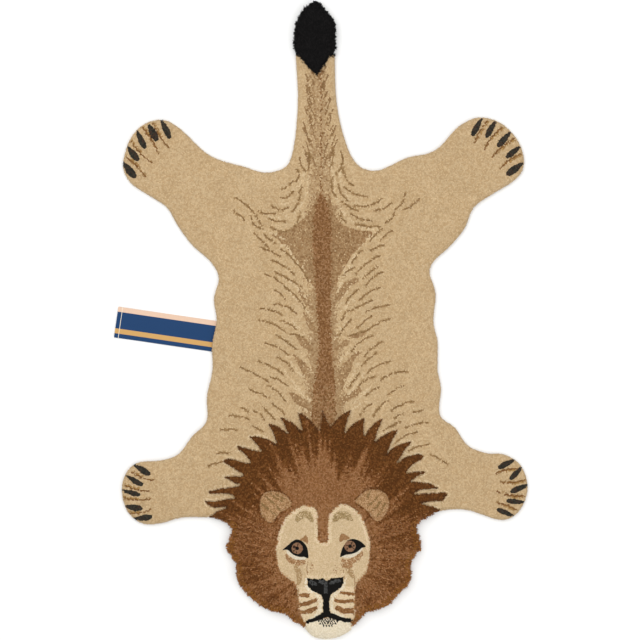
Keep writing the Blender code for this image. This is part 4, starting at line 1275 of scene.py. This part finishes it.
shag = dict(
    mane=dict(
        pitch=0.0044, length=0.0105, width=0.0030, rise=0.9, spread=0.45, sag=-0.18, depth=0.0035, droop=0.10,
        inset=0.006, end=(-0.44, -0.50), thinned=0.15, faceGap=0.013, earGap=0.052),
    maneRim=dict(
        area=mane, rows=4, pitch=0.0030, length=0.0098, width=0.0028, spread=0.42, tilt=(-0.15, 0.25),
        clumps=(0.75, 0.5), clumpNoise=(0.012, 3.0)),
    tuft=dict(
        pitch=0.0032, length=0.0135, width=0.0030, rise=0.7, spread=0.6, depth=0.006, droop=0.15, inset=0.004,
        axis=(-19, 600), squeeze=(1.5, 1.0), upwards=0.03),
    tuftRim=dict(
        area=tailTuft, rows=5, pitch=0.0026, length=0.0080, spread=0.5, tilt=(-0.2, 0.3), clumps=(0.8, 0.6),
        clumpNoise=(0.009, 7.0)),
    rimRows=dict(inset=0.0065, first=0.0012, fall=0.78, sunk=0.001),
    rowStep=0.87,
    jitter=0.45,
)


def gridSpots(pitch, plan):
    low = plan.min(axis=0)
    high = plan.max(axis=0)
    spots = gridOf(np.arange(low[0], high[0], pitch), np.arange(low[1], high[1], pitch * shag["rowStep"]))
    return spots + rng.uniform(-shag["jitter"], shag["jitter"], spots.shape) * pitch


def turned(ways, spread):
    angle = rng.normal(0.0, spread, len(ways))
    c = np.cos(angle)
    s = np.sin(angle)
    return np.stack([ways[:, 0] * c - ways[:, 1] * s, ways[:, 0] * s + ways[:, 1] * c], axis=1)


def rimSpots(wanted, rows, pitch):  # rows of roots down the pile's side
    side = shag["rimRows"]
    numbers = np.flatnonzero(wanted)
    spots = []
    heights = []
    ways = []
    for row in range(rows):
        picked = numbers[rng.random(len(numbers)) < pile["rimPitch"] / pitch]
        share = (row + rng.uniform(0.2, 0.8, len(picked))) / rows
        inset = side["inset"] * (1 - share) + side["first"]
        spots.append(rimLine[picked] - rimOut[picked] * inset[:, None])
        heights.append(topHeight[picked] * (1.0 - side["fall"] * share) - side["sunk"])
        ways.append(rimOut[picked])
    return np.vstack(spots), np.concatenate(heights), np.vstack(ways)


def rimShag(rim):  # roots, ways and lengths of the strands that stand out of the rim in clumps
    plan, heights, out = rimSpots(rimArea == rim["area"], rim["rows"], rim["pitch"])
    out = turned(out, rim["spread"])
    ways = unit(np.column_stack([out, rng.uniform(*rim["tilt"], len(out))]))
    clump = rim["clumps"][0] + rim["clumps"][1] * cloud(plan, *rim["clumpNoise"])
    lengths = rim["length"] * clump * rng.uniform(0.5, 1.0, len(out))
    return np.column_stack([plan, heights]), ways, lengths


def maneShag():
    body = shag["mane"]
    ringPlan = rimLine - rimOut * body["inset"]
    spots = gridSpots(body["pitch"], ringPlan)
    spots = spots[spots[:, 1] < body["end"][0]]
    spots = spots[insideOf(spots, ringPlan)]
    spots = spots[areaOf(spots) == mane]
    faceGap = gapTo(spots, ringOf(facePlan), reach=0.2)
    kept = rng.random(len(spots)) < softStep(spots[:, 1], *body["end"]) + body["thinned"]
    spots = spots[kept & (faceGap > body["faceGap"])]
    for plan in earPlans:
        spots = spots[np.linalg.norm(spots - plan.mean(axis=0), axis=1) > body["earGap"]]
    away = turned(unit(spots - headCentre) + np.array((0.0, body["sag"])), body["spread"])
    ways = unit(np.column_stack([away, body["rise"] * rng.uniform(0.5, 1.5, len(spots))]))
    roots = np.column_stack([spots, pileHeight(spots) - body["depth"]])
    lengths = body["length"] * rng.uniform(0.6, 1.15, len(spots))
    widths = body["width"] * rng.uniform(0.7, 1.2, len(spots))
    colours = maneColours(spots)
    rim = shag["maneRim"]
    rimRoots, rimWays, rimLengths = rimShag(rim)
    rimWidths = rim["width"] * rng.uniform(0.7, 1.2, len(rimRoots))
    colours = np.vstack([colours, maneColours(rimRoots[:, :2])])
    return strands("maneShag", np.vstack([roots, rimRoots]), np.vstack([ways, rimWays]),
                   np.append(lengths, rimLengths), np.append(widths, rimWidths), colours, body["droop"])


def tailShag():
    body = shag["tuft"]
    spots = gridSpots(body["pitch"], tuftPlan)
    spots = spots[insideOf(spots, rimLine - rimOut * body["inset"])]
    spots = spots[areaOf(spots) == tailTuft]
    away = (spots - place(body["axis"])[0]) * np.array(body["squeeze"]) + np.array((0.0, body["upwards"]))
    away = turned(unit(away), body["spread"])
    ways = unit(np.column_stack([away, body["rise"] * rng.uniform(0.4, 1.8, len(spots))]))
    roots = np.column_stack([spots, pileHeight(spots) - body["depth"]])
    lengths = body["length"] * rng.uniform(0.5, 1.1, len(spots))
    rimRoots, rimWays, rimLengths = rimShag(shag["tuftRim"])
    roots = np.vstack([roots, rimRoots])
    widths = body["width"] * rng.uniform(0.7, 1.2, len(roots))
    return strands("tailShag", roots, np.vstack([ways, rimWays]), np.append(lengths, rimLengths), widths,
                   tuftColours(roots[:, :2]), body["droop"])


pilePieces["maneShag"] = maneShag()
pilePieces["tailShag"] = tailShag()
print("shag set")


# ---- the canvas under the pile

canvas = dict(inset=0.0034, innerInset=0.012, thickness=0.0010, step=0.010, mesh=0.03)


def canvasBacking():
    outline = evenlySpaced(rimLine - rimOut * canvas["inset"], canvas["step"])
    inner = gridOf(np.arange(-0.48, 0.5, canvas["mesh"]), np.arange(-0.76, 0.77, canvas["mesh"]))
    inner = inner[insideOf(inner, rimLine - rimOut * canvas["innerInset"])]
    spots = np.vstack([outline, inner])
    plan, faces, _ = triangulate(spots, ringEdges(len(outline)))
    sheet = np.array([list(corner) for corner in faces])
    sheet = sheet[insideOf(plan[sheet].mean(axis=1), outline)]
    size = len(plan)
    under = sheet[:, ::-1] + size
    starts, ends = openEdges(sheet, size)
    sides = np.vstack(band(starts, ends, starts + size, ends + size))
    top = np.column_stack([plan, np.full(size, canvas["thickness"])])
    bottom = np.column_stack([plan, np.zeros(size)])
    return meshPiece("canvasBacking", np.vstack([top, bottom]), np.vstack([sheet, under, sides]), 0), sheet


backing, backingSheet = canvasBacking()
print("backing laid")


# ---- the ribbon label under the left edge

ribbon = dict(
    root=(-258, -38), turn=math.radians(-8.3), visible=0.234, tuck=0.022, width=0.073, thickness=0.0011,
    columns=64, rows=14, wave=0.0016, waves=(8.0, 30.0), floorGap=0.0001, smoothBelow=math.radians(40),
)


def deselectAll():
    for thing in bpy.context.scene.objects:
        thing.select_set(False)


def ribbonLabel():
    deselectAll()
    length = ribbon["visible"] + ribbon["tuck"]
    bpy.ops.mesh.primitive_grid_add(x_subdivisions=ribbon["columns"], y_subdivisions=ribbon["rows"], size=1.0)
    label = bpy.context.object
    label.name = "ribbonLabel"
    label.data.name = "ribbonLabel"
    origin = place(ribbon["root"])[0]
    c = math.cos(ribbon["turn"])
    s = math.sin(ribbon["turn"])
    label.data.uv_layers[0].name = "OFBake"
    for vertex in label.data.vertices:
        along = (vertex.co.x - 0.5) * length + ribbon["tuck"]
        side = vertex.co.y * ribbon["width"]
        outer = max(0.0, -along / ribbon["visible"])
        turns = outer * ribbon["waves"][0] + side * ribbon["waves"][1]
        lift = ribbon["floorGap"] + ribbon["wave"] * outer * (1.0 + math.sin(turns)) / 2
        vertex.co = (origin[0] + along * c - side * s, origin[1] + along * s + side * c, lift)
    firmUp = label.modifiers.new("firmUp", "SOLIDIFY")
    firmUp.thickness = ribbon["thickness"]
    firmUp.offset = 1.0
    bpy.ops.object.modifier_apply(modifier="firmUp")
    bpy.ops.object.shade_smooth_by_angle(angle=ribbon["smoothBelow"])
    return label


label = ribbonLabel()
print("label sewn")


# ---- finishes

class Socket:
    # wraps an output so that shader maths reads as an expression
    def __init__(self, tree, output):
        self.tree = tree
        self.output = output

    def node(self, kind, settings=None, **inputs):
        made = self.tree.nodes.new(kind)
        for key, value in (settings or {}).items():
            setattr(made, key, value)
        for key, value in inputs.items():
            socket = made.inputs[int(key[1:])] if key[0] == "i" and key[1:].isdigit() else made.inputs[key]
            if isinstance(value, Socket):
                self.tree.links.new(value.output, socket)
            else:
                socket.default_value = value
        return made

    def out(self, made, name=0):
        return Socket(self.tree, made.outputs[name])

    def maths(self, operation, first, second):
        return self.out(self.node("ShaderNodeMath", dict(operation=operation), i0=first, i1=second))

    def __add__(self, other):
        return self.maths("ADD", self, other)

    def __sub__(self, other):
        return self.maths("SUBTRACT", self, other)

    def __mul__(self, other):
        return self.maths("MULTIPLY", self, other)

    def above(self, edge):
        return self.maths("GREATER_THAN", self, edge)

    def below(self, edge):
        return self.maths("LESS_THAN", self, edge)


def newFinish(name, **constants):
    material = bpy.data.materials.new(name)
    material.use_nodes = True
    tree = material.node_tree
    shader = tree.nodes["Principled BSDF"]
    for key, value in constants.items():
        shader.inputs[key.replace("_", " ")].default_value = value
    start = Socket(tree, None)
    coordinates = start.out(start.node("ShaderNodeTexCoord"), "Object")
    return material, shader, start, coordinates


def noiseAt(start, coordinates, scale, detail=2.0):
    grain = start.node("ShaderNodeTexNoise", Vector=coordinates, Scale=scale, Detail=detail, Roughness=0.55)
    return start.out(grain, "Fac")


def mixColours(start, mode, factor, first, second):
    settings = dict(data_type="RGBA", blend_type=mode)
    return start.out(start.node("ShaderNodeMix", settings, i0=factor, i6=first, i7=second), 2)


def waveAt(start, coordinates, direction, scale, distortion):
    settings = dict(bands_direction=direction)
    wave = start.node("ShaderNodeTexWave", settings, Vector=coordinates, Scale=scale, Distortion=distortion)
    return start.out(wave, "Fac")


def toned(start, colour, tone):
    shade = start.out(start.node("ShaderNodeCombineColor", Red=tone, Green=tone, Blue=tone))
    return mixColours(start, "MULTIPLY", 1.0, colour, shade)


def finishWith(start, shader, colour, roughness, height, strength, distance):
    bump = start.out(start.node("ShaderNodeBump", Height=height, Strength=strength, Distance=distance))
    for name, value in (("Base Color", colour), ("Roughness", roughness), ("Normal", bump)):
        start.tree.links.new(value.output, shader.inputs[name])


woolLooks = dict(
    bodyWool=dict(roughness=0.92, sheen=0.10, fibre=900.0, depth=0.0008, mottle=0.20),
    maneWool=dict(roughness=0.88, sheen=0.05, fibre=700.0, depth=0.0010, mottle=0.34),
    faceWool=dict(roughness=0.93, sheen=0.04, fibre=1000.0, depth=0.0006, mottle=0.14),
    tuftWool=dict(roughness=0.80, sheen=0.01, fibre=650.0, depth=0.0010, mottle=0.35),
)
woolGrain = dict(detail=3.0, patches=38.0, patchTone=0.14, uneven=0.12, bump=0.7)


def wool(name):
    look = woolLooks[name]
    material, shader, start, coordinates = newFinish(
        name, Sheen_Weight=look["sheen"], Sheen_Roughness=0.5, Specular_IOR_Level=0.12)
    yarn = start.out(start.node("ShaderNodeAttribute", dict(attribute_name="yarn")), "Color")
    fibres = noiseAt(start, coordinates, look["fibre"], woolGrain["detail"])
    patches = noiseAt(start, coordinates, woolGrain["patches"])
    tone = (fibres - 0.5) * look["mottle"] + (patches - 0.5) * woolGrain["patchTone"] + 1.0
    roughness = fibres * woolGrain["uneven"] + (look["roughness"] - woolGrain["uneven"] / 2)
    finishWith(start, shader, toned(start, yarn, tone), roughness, fibres, woolGrain["bump"], look["depth"])
    return material


canvasLook = dict(
    low=(168, 154, 126), high=(214, 203, 178), thread=210.0, distortion=0.6, slub=90.0, slubDetail=3.0,
    slubShare=0.4, roughness=0.82, uneven=0.1, bump=0.6, depth=0.0005,
)


def canvasFinish():
    look = canvasLook
    material, shader, start, coordinates = newFinish(
        "cottonCanvas", Sheen_Weight=0.1, Specular_IOR_Level=0.25)
    warp, weft = (waveAt(start, coordinates, way, look["thread"], look["distortion"]) for way in ("X", "Y"))
    slubs = noiseAt(start, coordinates, look["slub"], look["slubDetail"])
    weave = warp * weft + slubs * look["slubShare"]
    ramp = start.node("ShaderNodeValToRGB", Fac=weave)
    for element, shade in zip(ramp.color_ramp.elements, (look["low"], look["high"])):
        element.color = (*linear(shade), 1.0)
    roughness = slubs * look["uneven"] + look["roughness"]
    finishWith(start, shader, start.out(ramp), roughness, weave, look["bump"], look["depth"])
    return material


ribbonLook = dict(
    navy=(18, 56, 98), ochre=(196, 153, 92), blush=(218, 186, 162), thread=(226, 216, 196),
    ochreTo=0.30, navyTo=0.14, blushFrom=0.84,  # the stripes across the width, from one edge
    seam=(0.036, 0.042), stitches=107.52, stitch=0.7,
    weft=420.0, warp=520.0, distortion=0.3, weftShare=0.6,
    tone=(0.16, 0.90), roughness=(0.15, 0.55), bump=0.5, depth=0.0003,
)


def ribbonFinish():
    look = ribbonLook
    material, shader, start, coordinates = newFinish(
        "ribbonWeave", Sheen_Weight=0.04, Specular_IOR_Level=0.2)
    unrolled = start.out(start.node("ShaderNodeUVMap", dict(uv_map="OFBake")))
    split = start.node("ShaderNodeSeparateXYZ", Vector=unrolled)
    along = start.out(split, "X")
    across = start.out(split, "Y")
    navy, ochre, blush, thread = ((*linear(look[name]), 1.0) for name in ("navy", "ochre", "blush", "thread"))
    colour = mixColours(start, "MIX", across.below(look["ochreTo"]), navy, ochre)
    colour = mixColours(start, "MIX", across.below(look["navyTo"]), colour, navy)
    colour = mixColours(start, "MIX", across.above(look["blushFrom"]), colour, blush)
    dashes = start.out(start.node("ShaderNodeMath", dict(operation="FRACT"), i0=along * look["stitches"]))
    weft = waveAt(start, coordinates, "X", look["weft"], look["distortion"])
    warp = waveAt(start, coordinates, "Y", look["warp"], look["distortion"])
    weave = weft * look["weftShare"] + warp * (1 - look["weftShare"])
    colour = toned(start, colour, weave * look["tone"][0] + look["tone"][1])
    sewn = along.above(look["seam"][0]) * along.below(look["seam"][1]) * dashes.below(look["stitch"])
    colour = mixColours(start, "MIX", sewn, colour, thread)
    roughness = weave * look["roughness"][0] + look["roughness"][1]
    finishWith(start, shader, colour, roughness, weave + sewn, look["bump"], look["depth"])
    return material


finishes = {name: wool(name) for name in woolLooks}
finishOf = dict(leftBodyPile="bodyWool", rightBodyPile="bodyWool", manePile="maneWool", facePile="faceWool",
                tailTuftPile="tuftWool", maneShag="maneWool", tailShag="tuftWool")
for name, piece in pilePieces.items():
    piece.data.materials.append(finishes[finishOf[name]])
backing.data.materials.append(canvasFinish())
label.data.materials.append(ribbonFinish())
print("finishes mixed")


# ---- pieces and the frame

for name, piece in pilePieces.items():
    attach(piece, "root")
    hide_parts("rug")
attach(backing, "root")
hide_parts("rug")
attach(label, "root")
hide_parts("label")


# ---- studio

studio = dict(
    photoWidth=1.5085, cameraHeight=4.4, cameraX=-0.0009, cameraY=0.0005, sensor=36.0, farthest=60.0,
    floorSize=14.0, floorDrop=-0.0004, floorShade=(236, 236, 235), world=0.92,
    lights=dict(  # spot, watts and size
        keyLight=((-1.3, 1.6, 3.2), 60.0, 3.4),
        fillLight=((2.0, -1.2, 3.0), 30.0, 2.8)),
)


def addFloor():
    deselectAll()
    bpy.ops.mesh.primitive_plane_add(size=studio["floorSize"], location=(0.0, 0.0, studio["floorDrop"]))
    floor = bpy.context.object
    floor.name = "studioFloor"
    material, shader, _, _ = newFinish("paleFloor", Roughness=0.9, Specular_IOR_Level=0.1)
    shader.inputs["Base Color"].default_value = (*linear(studio["floorShade"]), 1.0)
    floor.data.materials.append(material)


def addLight(name, spot, energy, size):  # aimed at the middle of the rug
    lamp = bpy.data.lights.new(name, "AREA")
    lamp.energy = energy
    lamp.size = size
    thing = bpy.data.objects.new(name, lamp)
    thing.location = spot
    thing.rotation_euler = (-Vector(spot)).to_track_quat("-Z", "Y").to_euler()
    bpy.context.scene.collection.objects.link(thing)


def addCamera():
    lens = bpy.data.cameras.new("topCamera")
    lens.sensor_width = studio["sensor"]
    lens.lens = studio["sensor"] * studio["cameraHeight"] / studio["photoWidth"]
    lens.clip_end = studio["farthest"]
    camera = bpy.data.objects.new("topCamera", lens)
    camera.location = (studio["cameraX"], studio["cameraY"], studio["cameraHeight"])
    bpy.context.scene.collection.objects.link(camera)
    bpy.context.scene.camera = camera


addFloor()
for name, (spot, energy, size) in studio["lights"].items():
    addLight(name, spot, energy, size)
addCamera()
world = bpy.data.worlds.new("studioWorld")
world.use_nodes = True
world.node_tree.nodes["Background"].inputs["Color"].default_value = (1.0, 1.0, 1.0, 1.0)
world.node_tree.nodes["Background"].inputs["Strength"].default_value = studio["world"]
bpy.context.scene.world = world
bpy.context.scene.view_settings.view_transform = "Standard"
print("studio lit")
